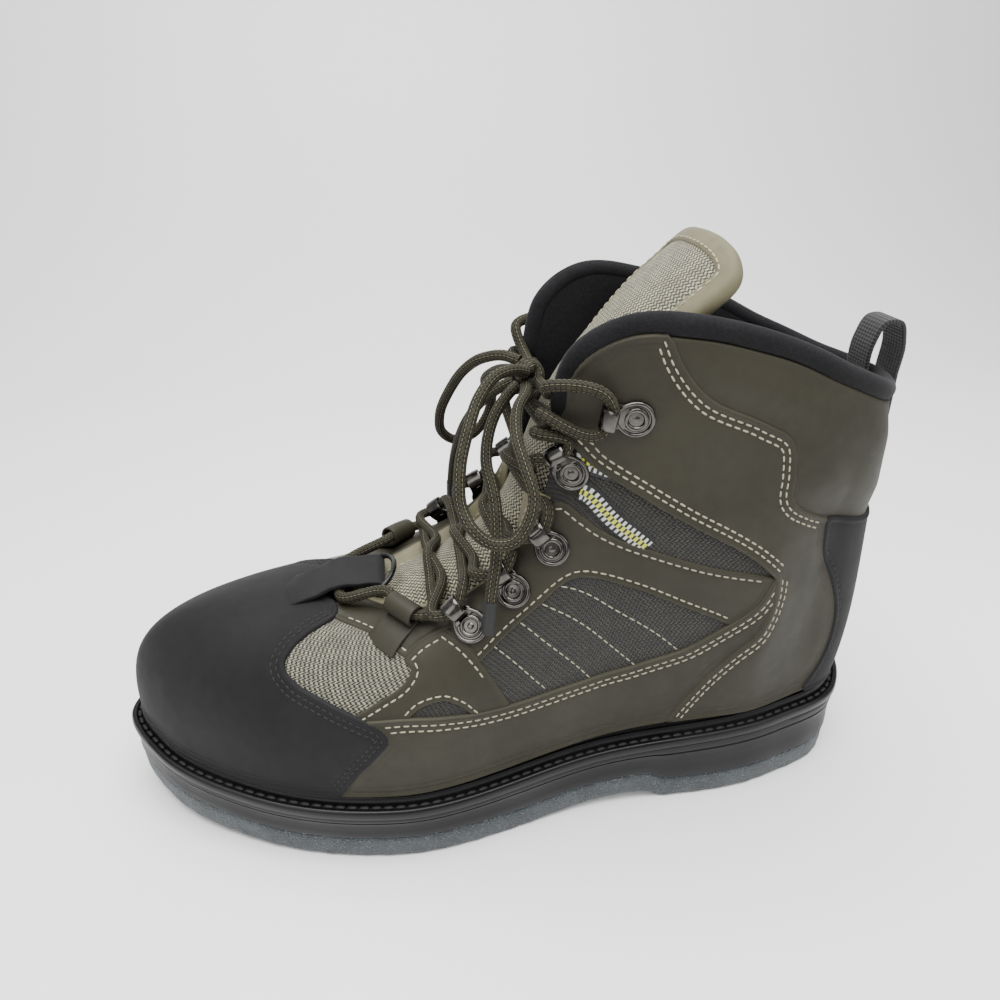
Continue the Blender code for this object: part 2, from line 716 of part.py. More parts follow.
insole_inset = WELT_PROJECTION + UPPER_WALL + 0.5 * MM
ring_stack("insole", [
    sole_ring(insole_inset, lambda x: bed(x) + GAP),
    sole_ring(insole_inset, lambda x: bed(x) + GAP + 0.6 * INSOLE_THICKNESS),
    sole_ring(insole_inset + 1.2 * MM, lambda x: bed(x) + GAP + INSOLE_THICKNESS),
], LINING)

# Upper: one hollow shell, open underneath, along the throat and at the collar


def shell(name, mat):
    outer = GRID_POINTS[:-1]
    inner = outer - UPPER_WALL * GRID_NORMALS[:-1]
    points = np.concatenate([outer.reshape(-1, 3), inner.reshape(-1, 3)])
    rows = ROWS + 1
    size = COLUMNS * rows
    faces = []
    for i in range(COLUMNS):
        k = (i + 1) % COLUMNS
        for j in range(ROWS):
            a, b, c, d = i * rows + j, k * rows + j, k * rows + j + 1, i * rows + j + 1
            faces += [(a, b, c), (a, c, d), (size + a, size + c, size + b), (size + a, size + d, size + c)]
        for j in (0, ROWS):
            faces.append((i * rows + j, k * rows + j, size + k * rows + j, size + i * rows + j))
    return solid(name, points, faces, mat, 60.0)


shell("upper_shell", MESH_CLOTH)

# Overlays

def across(share, up, side):
    """A single place on one side, to turn a corner of a panel."""
    u = share * 0.5
    return np.array([(u if side > 0 else 1 - u, up)])


panel("toe_cap", [seam("cap edge", 1), seam("cap edge", -1, backward=True)], NUBUCK)
for tag, side in (("out", 1), ("in", -1)):
    panel("band_" + tag, [
        seam("band top", side),
        seam("counter seam", side),
        seam("cap edge", side, "welt", "band end"),
    ], SYNTHETIC)
    panel("strap_" + tag, [
        seam("strap front", side),
        seam("strap top", side),
        seam("strap back", side),
        seam("band top", side, "ball", "strap foot", backward=True),
        seam("small window", side),
        seam("band top", side, "cap", "front", backward=True),
    ], SYNTHETIC)
    panel("saddle_" + tag, [
        seam("ankle low", side),
        seam("band top", side, "saddle foot", "meeting point", backward=True),
        seam("saddle low", side),
        seam("strap back", side, "top", "saddle", backward=True),
        seam("strap top", side, backward=True),
        seam("arm", side),
        seam("cap edge", side, "neck", "tab end"),
        across(0.905, TOPLINE_SHARE, side),
    ], SYNTHETIC)
    panel("shaft_" + tag, [
        seam("ankle high", side),
        seam("counter seam", side),
        seam("backstay edge", side, backward=True),
        seam("collar seam", side, backward=True),
    ], SYNTHETIC)
panel("collar_pad", [
    seam("collar seam", 1, heel=True),
    seam("collar seam", -1, backward=True, heel=True),
], SYNTHETIC, OVERLAY_LIFT, OVERLAY_LIFT + COLLAR_PAD_THICKNESS)
panel("backstay", [
    seam("backstay edge", 1, heel=True),
    seam("backstay edge", -1, backward=True, heel=True),
], PADDING)

# Binding: a padded roll standing on the topline, from shin to shin round the collar

# Section of the binding: share of its half thickness outwards, share of its height
BINDING_SECTION = [
    (-0.40, 0.00), (0.40, 0.00), (1.00, 0.28), (1.00, 0.66), (0.52, 0.96), (-0.52, 0.96), (-1.00, 0.66), (-1.00, 0.28),
]
BINDING_END = 0.195


def binding(name, mat):
    places = np.r_[GRID_U[:-1] - 1, GRID_U]
    places = places[(places >= -BINDING_END) & (places <= BINDING_END)]
    top = lasted(places, np.ones_like(places))
    out = outward(places, np.ones_like(places))
    run = lasted(places + 1e-3, np.ones_like(places)) - lasted(places - 1e-3, np.ones_like(places))
    rise = np.cross(run, out)
    rise = rise / np.linalg.norm(rise, axis=1, keepdims=True)
    centre = top - out * UPPER_WALL / 2 + rise * 3 * GAP
    size = np.ones(len(places))
    size[[0, -1]] = 0.6
    rings = []
    for c, o, r, k in zip(centre, out, rise, size):
        rings.append(np.array([c + o * a * BINDING_THICKNESS / 2 + r * b * BINDING_HEIGHT * k
                               for a, b in BINDING_SECTION]))
    return ring_stack(name, rings, mat, angle=60.0)


binding("collar_binding", PADDING)

# Tongue stations on its outer face: name, shares of sole length and collar height at the middle, half width as
# a share of the ball width, depth by which the edges wrap round the instep
TONGUE = [
    ("root", 0.705, 0.424, 0.120, 2.5 * MM),
    ("under vamp", 0.657, 0.440, 0.160, 5.0 * MM),
    ("first row", 0.610, 0.468, 0.230, 9.0 * MM),
    ("second row", 0.562, 0.510, 0.280, 14.5 * MM),
    ("third row", 0.520, 0.567, 0.270, 18.5 * MM),
    ("bend", 0.490, 0.636, 0.262, 19.0 * MM),
    ("ankle", 0.472, 0.712, 0.248, 17.0 * MM),
    ("shin", 0.452, 0.795, 0.240, 14.0 * MM),
    ("lean", 0.425, 0.876, 0.235, 12.0 * MM),
    ("collar", 0.384, 0.955, 0.235, 9.0 * MM),
    ("leaf", 0.335, 1.030, 0.245, 7.0 * MM),
    ("brow", 0.292, 1.086, 0.225, 6.0 * MM),
    ("tip", 0.278, 1.104, 0.175, 4.0 * MM),
]
TONGUE_ACROSS = np.linspace(-1.0, 1.0, 7)


def tongue_line(share):
    """A point on the middle of the tongue's outer face and its normal, from the root (0) to the tip (1)."""
    rows = np.array([(x * SOLE_LENGTH, z * COLLAR_HEIGHT) for _, x, z, _, _ in TONGUE])
    knots = np.r_[0.0, np.cumsum(np.linalg.norm(np.diff(rows, axis=0), axis=1))]
    at = np.array([share - 1e-3, share, share + 1e-3]) * knots[-1]
    behind, here, ahead = through(knots, rows, at)
    t = (ahead - behind) / np.linalg.norm(ahead - behind)
    return np.array([here[0], 0.0, here[1]]), np.array([t[1], 0.0, -t[0]])


def tongue(name, mat):
    grid = []
    rows = np.array([(x * SOLE_LENGTH, z * COLLAR_HEIGHT) for _, x, z, _, _ in TONGUE])
    knots = np.r_[0.0, np.cumsum(np.linalg.norm(np.diff(rows, axis=0), axis=1))]
    for place, (_, _, _, half, wrap) in zip(knots / knots[-1], TONGUE):
        middle, normal = tongue_line(place)
        grid.append([middle - normal * wrap * q * q + np.array([0.0, q * half * BALL_WIDTH, 0.0])
                     for q in TONGUE_ACROSS])
    return slab(name, grid, TONGUE_THICKNESS, mat, 60.0)


tongue("tongue", TONGUE_CLOTH)

# Lace hardware, one of each on both sides

# Name, kind, share round the side and up the column of its root, the same of the throat place it faces
FIXTURES = [
    ("lace_fold", "fold", 0.715, 0.840, 0.742, 1.000),
    ("lace_loop_1", "loop", 0.585, 0.736, 0.635, 0.900),
    ("lace_loop_2", "loop", 0.535, 0.771, 0.570, 0.943),
    ("lace_loop_3", "loop", 0.478, 0.771, 0.510, 0.936),
    ("ankle_hook", "hook", 0.425, 0.850, 0.452, 1.000),
    ("top_hook", "hook", 0.340, 0.850, 0.365, 0.879),
]
HOOP_RADIUS = LACE_DIAMETER / 2 + LACE_CLEARANCE + HOOP_WALL


def fixture_frame(row, side):
    """Root, axis towards the throat, axis off the surface, axis up the row, and the centre of the lace's way."""
    _, _, share, up, to_share, to_up = row
    u = np.array([share * 0.5, to_share * 0.5])
    if side < 0:
        u = 1 - u
    lift = OVERLAY_LIFT + OVERLAY_THICKNESS + GAP
    normal = outward(u[:1], np.array([up]))[0]
    root, target = between(GRID_POINTS, u, np.array([up, to_up]))
    ahead = target - root
    ahead = ahead - normal * np.dot(ahead, normal)
    ahead = ahead / np.linalg.norm(ahead)
    along = np.cross(ahead, normal) * side
    root = root + normal * (lift + (FOLD_LIFT if row[1] == "fold" else HOOP_LIFT))
    centre = root + ahead * HOOP_REACH + normal * HOOP_RADIUS
    return root, ahead, normal, along, centre


def prism(name, section, frame, half, mat):
    """A section in the plane of the first two axes, drawn out to both sides along the third."""
    root, ahead, normal, along = frame
    rings = [np.array([root + ahead * a + normal * n + along * w for a, n in section]) for w in (-half, half)]
    count = len(section)
    points = np.concatenate(rings)
    faces = [tuple(range(count)), tuple(range(2 * count - 1, count - 1, -1))]
    faces += [(i, (i + 1) % count, count + (i + 1) % count, count + i) for i in range(count)]
    mesh = bpy.data.meshes.new(name)
    mesh.from_pydata([tuple(p) for p in placed(points)], [], faces)
    bm = bmesh.new()
    bm.from_mesh(mesh)
    bmesh.ops.triangulate(bm, faces=bm.faces)
    bmesh.ops.recalc_face_normals(bm, faces=bm.faces)
    bm.to_mesh(mesh)
    bm.free()
    obj = bpy.data.objects.new(name, mesh)
    bpy.context.scene.collection.objects.link(obj)
    mesh.materials.append(mat)
    mesh.shade_smooth()
    mesh.set_sharp_from_angle(angle=math.radians(40.0))
    return obj


def hoop_section(first, last, steps, base):
    """A strip laid flat from its base to the hoop, then bent round the lace from one angle to another."""
    angles = np.radians(np.linspace(first, last, steps))
    outer = [(HOOP_REACH + HOOP_RADIUS * math.cos(t), HOOP_RADIUS + HOOP_RADIUS * math.sin(t)) for t in angles]
    radius = HOOP_RADIUS - HOOP_WALL
    inner = [(HOOP_REACH + radius * math.cos(t), HOOP_RADIUS + radius * math.sin(t)) for t in angles]
    return [(base, 0.0)] + outer + inner[::-1] + [(base, HOOP_WALL)]


def fixture(row, tag, side):
    root, ahead, normal, along, _ = fixture_frame(row, side)
    frame = (root, ahead, normal, along)
    name = row[0] + tag
    if row[1] == "fold":
        return prism(name, hoop_section(-90, 215, 9, -3 * MM), frame, FOLD_WIDTH / 2, SYNTHETIC)
    turn = 215 if row[1] == "loop" else 130
    strip = prism(name, hoop_section(-90, turn, 7, 0.0), frame, HOOP_WIDTH / 2, GUNMETAL)
    disc = [(RIVET_RADIUS * math.cos(t), RIVET_RADIUS * math.sin(t)) for t in np.linspace(0, 2 * math.pi, 13)[:-1]]
    rivet = prism(name + "_rivet", disc, (root + normal * RIVET_HEIGHT / 2, ahead, along, normal),
                  RIVET_HEIGHT / 2, GUNMETAL)
    return united(name, [strip, rivet])


for fixture_row in FIXTURES:
    fixture(fixture_row, "_out", 1)
    fixture(fixture_row, "_in", -1)


# Strips of webbing: pull loop at the back of the collar, and the tab that holds the strap ring on the toe cap

def strip(name, line, across, width, thickness, mat):
    """A strip along a line of points, its width along one fixed direction."""
    line = np.asarray(line, float)
    run = np.gradient(line, axis=0)
    run = run / np.linalg.norm(run, axis=1, keepdims=True)
    side = np.asarray(across, float)
    normal = np.cross(run, side)
    rings = []
    for point, up in zip(line, normal):
        half = side * width / 2
        rise = up * thickness / 2
        rings.append(np.array([point - half - rise, point + half - rise, point + half + rise, point - half + rise]))
    count = len(line)
    points = np.concatenate(rings)
    faces = [(0, 1, 2, 3), tuple(4 * (count - 1) + k for k in (3, 2, 1, 0))]
    for i in range(count - 1):
        for k in range(4):
            j = (k + 1) % 4
            faces.append((4 * i + k, 4 * i + 4 + k, 4 * i + 4 + j, 4 * i + j))
    return solid(name, points, faces, mat, 50.0)


# Pull loop, foot to foot over the binding: distance outside the heel topline, height over it
PULL_LINE = [
    (5.8 * MM, -18.0 * MM), (5.5 * MM, -8.0 * MM), (5.2 * MM, 2.0 * MM), (5.2 * MM, 15.0 * MM),
    (2.2 * MM, 22.5 * MM), (-3.6 * MM, 22.5 * MM), (-7.0 * MM, 15.5 * MM), (-7.3 * MM, 2.0 * MM),
    (-6.2 * MM, -6.0 * MM), (-5.6 * MM, -12.0 * MM),
]
heel_top = lasted(np.array([0.0, 0.0]), np.array([1.0, 1.0]))[0]
strip("pull_loop", [(heel_top[0] - out, 0.0, heel_top[2] + up) for out, up in PULL_LINE], (0.0, 1.0, 0.0),
      PULL_WIDTH, WEBBING_THICKNESS, WEBBING)

# Ring tab: distance from the throat's front edge towards the toe, height over the crown of the upper
RING_TAB_LINE = [
    (30.0 * MM, 2.8 * MM), (22.0 * MM, 2.9 * MM), (15.0 * MM, 4.0 * MM), (10.5 * MM, 6.9 * MM), (5.5 * MM, 7.8 * MM),
    (0.0 * MM, 7.2 * MM), (-5.0 * MM, 7.6 * MM), (-9.0 * MM, 6.6 * MM), (-9.6 * MM, 3.6 * MM), (-6.6 * MM, 2.0 * MM),
    (-3.0 * MM, 2.2 * MM),
]
RING_BAR = (-6.6 * MM, 4.9 * MM)


def crown(along):
    """The middle of the vamp's top at a distance ahead of the throat, held level behind it."""
    ups = np.linspace(0.0, 1.0, 61)
    middle = lasted(np.full(61, 0.5), ups)
    return np.interp(middle[-1, 0] + max(along, 0.0), middle[::-1, 0], middle[::-1, 2])


throat_front = lasted(np.array([0.5, 0.5]), np.array([1.0, 1.0]))[0]
strip("ring_tab", [(throat_front[0] + along, 0.0, crown(along) + over) for along, over in RING_TAB_LINE],
      (0.0, 1.0, 0.0), TAB_WIDTH, WEBBING_THICKNESS, NUBUCK)


def ring(name, mat):
    """A half round ring: a straight bar across, and a bow that lies back towards the ankle."""
    bar = np.array([throat_front[0] + RING_BAR[0], 0.0, crown(0.0) + RING_BAR[1]])
    half = RING_WIDTH / 2
    line = [(0.0, t * (half - 1.5 * MM)) for t in (-1.0, 0.0, 1.0)]
    line += [((half - 3.0 * MM) * math.sin(t), half * math.cos(t)) for t in np.radians(np.linspace(12, 168, 11))]
    back = np.array([-math.cos(math.radians(30)), 0.0, math.sin(math.radians(30))])
    points = np.array([bar + back * a + np.array([0.0, y, 0.0]) for a, y in line])
    run = np.roll(points, -1, axis=0) - np.roll(points, 1, axis=0)
    run = run / np.linalg.norm(run, axis=1, keepdims=True)
    normal = np.cross(back, np.array([0.0, 1.0, 0.0]))
    rings = []
    for point, t in zip(points, run):
        side = np.cross(t, normal)
        rings.append(np.array([point + (side * math.cos(a) + normal * math.sin(a)) * RING_WIRE / 2
                               for a in np.linspace(0, 2 * math.pi, 7)[:-1]]))
    return ring_stack(name, rings, mat, closed=True, angle=60.0)


ring("strap_ring", RING_METAL)


# Laces: two mirrored runs that cross on the tongue and pass through the hardware

# The place on the tongue, root to tip, where each run crosses after leaving its hardware
CROSSINGS = [0.203, 0.275, 0.365, 0.480, 0.590]
BAR_AHEAD = 7.5 * MM
BAR_OVERLAP = 2.5 * MM
LACE_SPACING = 8.5 * MM
TURN_CLEARANCE = 2.2 * MM
TURN_LIFT = 3.0 * MM
EDGE_SHARES = (0.428, 0.408)
HOOK_EXIT_SHARE = 0.443
EDGE_LIFT = 4.0 * MM
EDGE_AHEAD = 4.5 * MM
KNOT_STRAND = [(143.5, 22.0, 176.0), (143.2, 14.0, 175.0), (143.2, 5.2, 174.2)]


def tongue_face(share, sideways):
    """A point on the tongue's outer face off its middle line, and the normal of the middle line there."""
    rows = np.array([(x * SOLE_LENGTH, z * COLLAR_HEIGHT) for _, x, z, _, _ in TONGUE])
    knots = np.r_[0.0, np.cumsum(np.linalg.norm(np.diff(rows, axis=0), axis=1))]
    half, wrap = through(knots / knots[-1], [row[3:] for row in TONGUE], np.array([share, share]))[0]
    middle, normal = tongue_line(share)
    return middle + np.array([0.0, sideways, 0.0]) - normal * wrap * (sideways / (half * BALL_WIDTH)) ** 2, normal


def over_edge(share, side):
    """The middle of a strand that passes round the front edge of the collar."""
    u = np.array([share * 0.5 if side > 0 else 1 - share * 0.5])
    below, edge, above = lasted(np.r_[u - 2e-3, u, u + 2e-3], np.ones(3))
    away = outward(u, np.array([0.98]))[0]
    forward = np.cross(above - below, away)
    forward = forward / np.linalg.norm(forward)
    return edge + away * EDGE_LIFT + forward * EDGE_AHEAD


def lace_run(side):
    """The hand-chosen points of one run, from the middle of the bottom bar to the strands below the knot."""
    over = LACE_DIAMETER / 2 + 1.6 * MM
    rest = OVERLAY_LIFT + OVERLAY_THICKNESS + LACE_DIAMETER / 2 + 0.7 * MM
    ahead_of_hoop = HOOP_RADIUS + LACE_DIAMETER / 2 + TURN_CLEARANCE
    bar = np.array([throat_front[0] + BAR_AHEAD, 0.0, crown(BAR_AHEAD) + rest])
    points = [bar - np.array([0.0, side * BAR_OVERLAP, 0.0]), bar + np.array([-1.0 * MM, side * 12 * MM, 0.0])]
    here = side
    for row, cross in zip(FIXTURES, CROSSINGS + [None]):
        _, ahead, normal, along, centre = fixture_frame(row, here)
        turn = centre + ahead * ahead_of_hoop + normal * TURN_LIFT
        if cross is None:
            points += [over_edge(EDGE_SHARES[0], here), turn - along * 2 * MM, turn + along * 2 * MM,
                       over_edge(EDGE_SHARES[1], here)]
            continue
        points += [turn - along * 2 * MM, turn + along * 2 * MM]
        if row[1] == "hook":
            points.append(over_edge(HOOK_EXIT_SHARE, here))
        for share, sideways in ((cross - 0.012, 13 * MM), (cross, 0.0), (cross + 0.012, -13 * MM)):
            spot, away = tongue_face(share, here * sideways)
            points.append(spot + away * over)
        here = -here
    points += [np.array([x * MM, here * y * MM, z * MM]) for x, y, z in KNOT_STRAND]
    return points


def lace_tube(name, points, turn):
    """A round cord through the points, its section turned once at the start and then carried without twist."""
    line = smooth_line(points, LACE_SPACING)
    run = np.gradient(line, axis=0)
    run = run / np.linalg.norm(run, axis=1, keepdims=True)
    side = np.cross(run[0], (0.0, 0.0, 1.0))
    rings = []
    for point, t in zip(line, run):
        side = side - t * np.dot(side, t)
        side = side / np.linalg.norm(side)
        other = np.cross(t, side)
        rings.append(np.array([point + (side * math.cos(a) + other * math.sin(a)) * LACE_DIAMETER / 2
                               for a in turn + np.linspace(0, 2 * math.pi, 6)[:-1]]))
    return ring_stack(name, rings, CORD, angle=80.0)


united("laces", [lace_tube("laces_a", lace_run(1), 0.0), lace_tube("laces_b", lace_run(-1), 0.4)])

# The bow: knot, loops and loose ends, in millimetres from the heel back, the middle line and the floor

NEAR_LOOP = [
    (148.5, 6.85, 178.8), (154, 10.5, 181), (160.5, 14.5, 180.5), (166.4, 20, 176), (171.6, 28, 166.9),
    (175.2, 34, 155.3), (175.4, 40, 143.5), (172.6, 45, 138.5), (166.4, 48, 134.2), (159.8, 49.5, 135.0),
    (154.9, 49, 141), (152.6, 47, 150), (154.5, 42, 158), (156, 33, 165), (154, 22, 171), (150, 14, 173.2),
    (148.5, 6.6, 173.6),
]
FAR_LOOP = [
    (148.5, -6.85, 178.8), (154, -10.5, 180), (161, -15, 178), (167, -22, 172), (173, -29, 161), (177, -34, 149),
    (176, -39, 139), (170, -43, 133.5), (162, -45, 135), (156, -45, 143), (154, -43, 152), (158, -34, 163),
    (154, -23, 170.5), (150, -14, 173.2), (148.5, -6.6, 173.6),
]
NEAR_END = [(150.9, 2.7, 172.9), (154.5, 5, 170.4), (161, 12, 164), (165, 22, 153), (163.5, 33, 143), (164, 42, 129), (167, 48, 113), (168.3, 49, 99)]
FAR_END = [(150.9, -2.7, 172.9), (154.5, -5, 170.4), (161, -12, 163), (166, -22, 152), (169, -32, 140), (171, -41, 126), (172, -47, 111), (172, -50, 99)]


def cord_node(name, line, diameter):
    """A free cord as a round tube along hand-chosen places."""
    points = placed(smooth_line(np.array(line, float) * MM, 2.4 * LACE_DIAMETER))
    data = bpy.data.curves.new(name, "CURVE")
    data.dimensions = "3D"
    data.bevel_depth = diameter / 2
    data.bevel_resolution = 2
    data.use_fill_caps = True
    spline = data.splines.new("POLY")
    spline.points.add(len(points) - 1)
    for target, point in zip(spline.points, points):
        target.co = (*point, 1.0)
    obj = bpy.data.objects.new(name, data)
    bpy.context.scene.collection.objects.link(obj)
    data.materials.append(CORD)
    return obj


cord_node("knot", [(146, -4.6, 176), (146, 0, 176), (146, 4.6, 176)], KNOT_DIAMETER)
cord_node("lace_loop_out", NEAR_LOOP, LACE_DIAMETER)
cord_node("lace_loop_in", FAR_LOOP, LACE_DIAMETER)
cord_node("lace_end_out", NEAR_END, LACE_DIAMETER)
cord_node("lace_end_in", FAR_END, LACE_DIAMETER)
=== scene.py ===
# %% [markdown]
# # A felt-soled wading boot
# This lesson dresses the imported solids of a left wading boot. The solids give the true sizes, and each step
# below makes one visible piece: the sole layers, the lasted upper with its cut panels, the padding, the
# hardware and the laces. Everything is in metres, the toe points along +X and the outer side is +Y.

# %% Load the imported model
import json
import math
import bmesh
import bpy
import numpy as np
from mathutils import Matrix, Vector
from mathutils.geometry import delaunay_2d_cdt
from mathutils.kdtree import KDTree

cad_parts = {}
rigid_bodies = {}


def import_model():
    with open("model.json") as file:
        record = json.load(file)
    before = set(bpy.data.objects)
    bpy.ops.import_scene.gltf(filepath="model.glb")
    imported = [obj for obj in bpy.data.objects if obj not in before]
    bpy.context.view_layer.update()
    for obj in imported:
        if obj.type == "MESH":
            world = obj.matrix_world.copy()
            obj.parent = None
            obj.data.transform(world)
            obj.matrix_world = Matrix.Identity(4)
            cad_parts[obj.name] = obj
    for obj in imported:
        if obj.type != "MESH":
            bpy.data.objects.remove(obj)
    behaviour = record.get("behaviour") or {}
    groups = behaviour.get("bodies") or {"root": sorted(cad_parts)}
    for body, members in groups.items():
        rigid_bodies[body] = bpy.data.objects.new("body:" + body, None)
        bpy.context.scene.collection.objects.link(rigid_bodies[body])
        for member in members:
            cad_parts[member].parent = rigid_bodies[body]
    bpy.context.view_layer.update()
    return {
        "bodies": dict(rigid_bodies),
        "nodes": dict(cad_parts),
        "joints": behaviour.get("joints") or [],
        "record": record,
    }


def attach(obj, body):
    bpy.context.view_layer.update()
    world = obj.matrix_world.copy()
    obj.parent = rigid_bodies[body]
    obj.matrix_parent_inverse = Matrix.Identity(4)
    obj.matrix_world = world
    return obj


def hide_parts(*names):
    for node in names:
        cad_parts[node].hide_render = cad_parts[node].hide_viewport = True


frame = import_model()
MM = 0.001

# %% [markdown]
# ## Camera
# The photograph was taken close to the boot with a wide lens, from the outer side and a little in front. A
# camera is placed at that spot and turned until sole, collar and toe fall where they do in the photograph.

# %% Camera
CAMERA_PLACE = Vector((0.1499, 0.2580, 0.2619))
CAMERA_LOOK = Vector((-0.1293, -0.8759, -0.4648))
camera_data = bpy.data.cameras.new("camera")
camera_data.lens = 27.0
camera_data.sensor_width = 36.0
camera_data.clip_start = 0.01
camera = bpy.data.objects.new("camera", camera_data)
camera.location = CAMERA_PLACE
camera.rotation_euler = CAMERA_LOOK.to_track_quat("-Z", "Y").to_euler()
bpy.context.scene.collection.objects.link(camera)
bpy.context.scene.camera = camera
print("camera at", tuple(round(c, 3) for c in camera.location))

# %% [markdown]
# ## The last
# A boot is pulled over a wooden last, and every panel takes the last's curve. The same surface is used here
# for all of the upper: u runs round the sole, heel to toe along the outer side and back along the inner side,
# and v runs from the sole edge up to the collar or the throat.

# %% Sizes shared with the solids
SOLE_LENGTH = 315 * MM
BALL_WIDTH = 117 * MM
WAIST_WIDTH = 88 * MM
HEEL_WIDTH = 85 * MM
TOE_WIDTH = 96 * MM
HEEL_SEAT = 37 * MM
BALL_SEAT = 26.5 * MM
TOE_SPRING = 8 * MM
ARCH_LIFT = 4 * MM
FELT_THICKNESS = 11 * MM
WELT_THICKNESS = 4.5 * MM
WELT_PROJECTION = 7 * MM
HEEL_CENTRE = 45 * MM
COLLAR_HEIGHT = 200 * MM
INNER_FLAP_RISE = 5 * MM
UPPER_WALL = 2.6 * MM
LACE_DIAMETER = 4.2 * MM
GAP = 0.3 * MM
BREAST = (0.292, 0.327)

# Name, share of the length, the width it is measured in, share of that width to the outer side
OUTLINE = [
    ("heel back", 0.000, HEEL_WIDTH, 0.000),
    ("outer heel corner", 0.042, HEEL_WIDTH, 0.345),
    ("outer heel side", 0.143, HEEL_WIDTH, 0.500),
    ("outer waist", 0.397, WAIST_WIDTH, 0.535),
    ("outer ball", 0.650, BALL_WIDTH, 0.506),
    ("outer toe side", 0.832, TOE_WIDTH, 0.463),
    ("outer toe corner", 0.952, TOE_WIDTH, 0.205),
    ("toe tip", 1.000, TOE_WIDTH, -0.045),
    ("inner toe corner", 0.965, TOE_WIDTH, -0.330),
    ("inner toe side", 0.863, TOE_WIDTH, -0.520),
    ("inner ball", 0.714, BALL_WIDTH, -0.487),
    ("inner waist", 0.412, WAIST_WIDTH, -0.455),
    ("inner heel side", 0.143, HEEL_WIDTH, -0.500),
    ("inner heel corner", 0.042, HEEL_WIDTH, -0.345),
]
TOE_TIP_ROW = 7

# Name and share round the side; the collar or throat edge there: place along the sole, half width and height
# (in sole lengths, ball widths and collar heights); then how the surface leaves the sole edge (rise, swell)
# and comes to the collar or throat (along, across, from below)
STATIONS = [
    ("heel back", 0.00, 0.030, 0.000, 0.842, 0.30, 0.035, 0.004, 0.000, 0.45),
    ("heel curve", 0.09, 0.066, 0.215, 0.856, 0.30, 0.028, 0.002, 0.000, 0.45),
    ("heel side", 0.18, 0.138, 0.300, 0.905, 0.32, 0.020, 0.004, 0.020, 0.42),
    ("ankle", 0.25, 0.225, 0.315, 0.965, 0.35, 0.020, 0.018, 0.040, 0.42),
    ("collar", 0.30, 0.310, 0.305, 0.998, 0.38, 0.020, 0.010, 0.050, 0.42),
    ("collar front", 0.345, 0.382, 0.280, 1.000, 0.40, 0.020, 0.000, 0.055, 0.42),
    ("corner", 0.385, 0.430, 0.250, 0.950, 0.40, 0.020, -0.015, 0.045, 0.40),
    ("shin", 0.43, 0.446, 0.240, 0.850, 0.42, 0.020, -0.030, 0.040, 0.36),
    ("bend", 0.49, 0.460, 0.240, 0.715, 0.45, 0.020, -0.010, 0.080, 0.32),
    ("instep", 0.56, 0.495, 0.240, 0.590, 0.50, 0.020, 0.035, 0.125, 0.26),
    ("lacing", 0.65, 0.548, 0.232, 0.500, 0.54, 0.018, 0.090, 0.145, 0.18),
    ("eyestay", 0.745, 0.608, 0.185, 0.462, 0.58, 0.014, 0.125, 0.150, 0.09),
    ("vamp", 0.87, 0.660, 0.100, 0.452, 0.66, 0.006, 0.190, 0.130, 0.04),
    ("toe", 1.00, 0.680, 0.000, 0.450, 0.72, 0.000, 0.270, 0.000, 0.01),
]

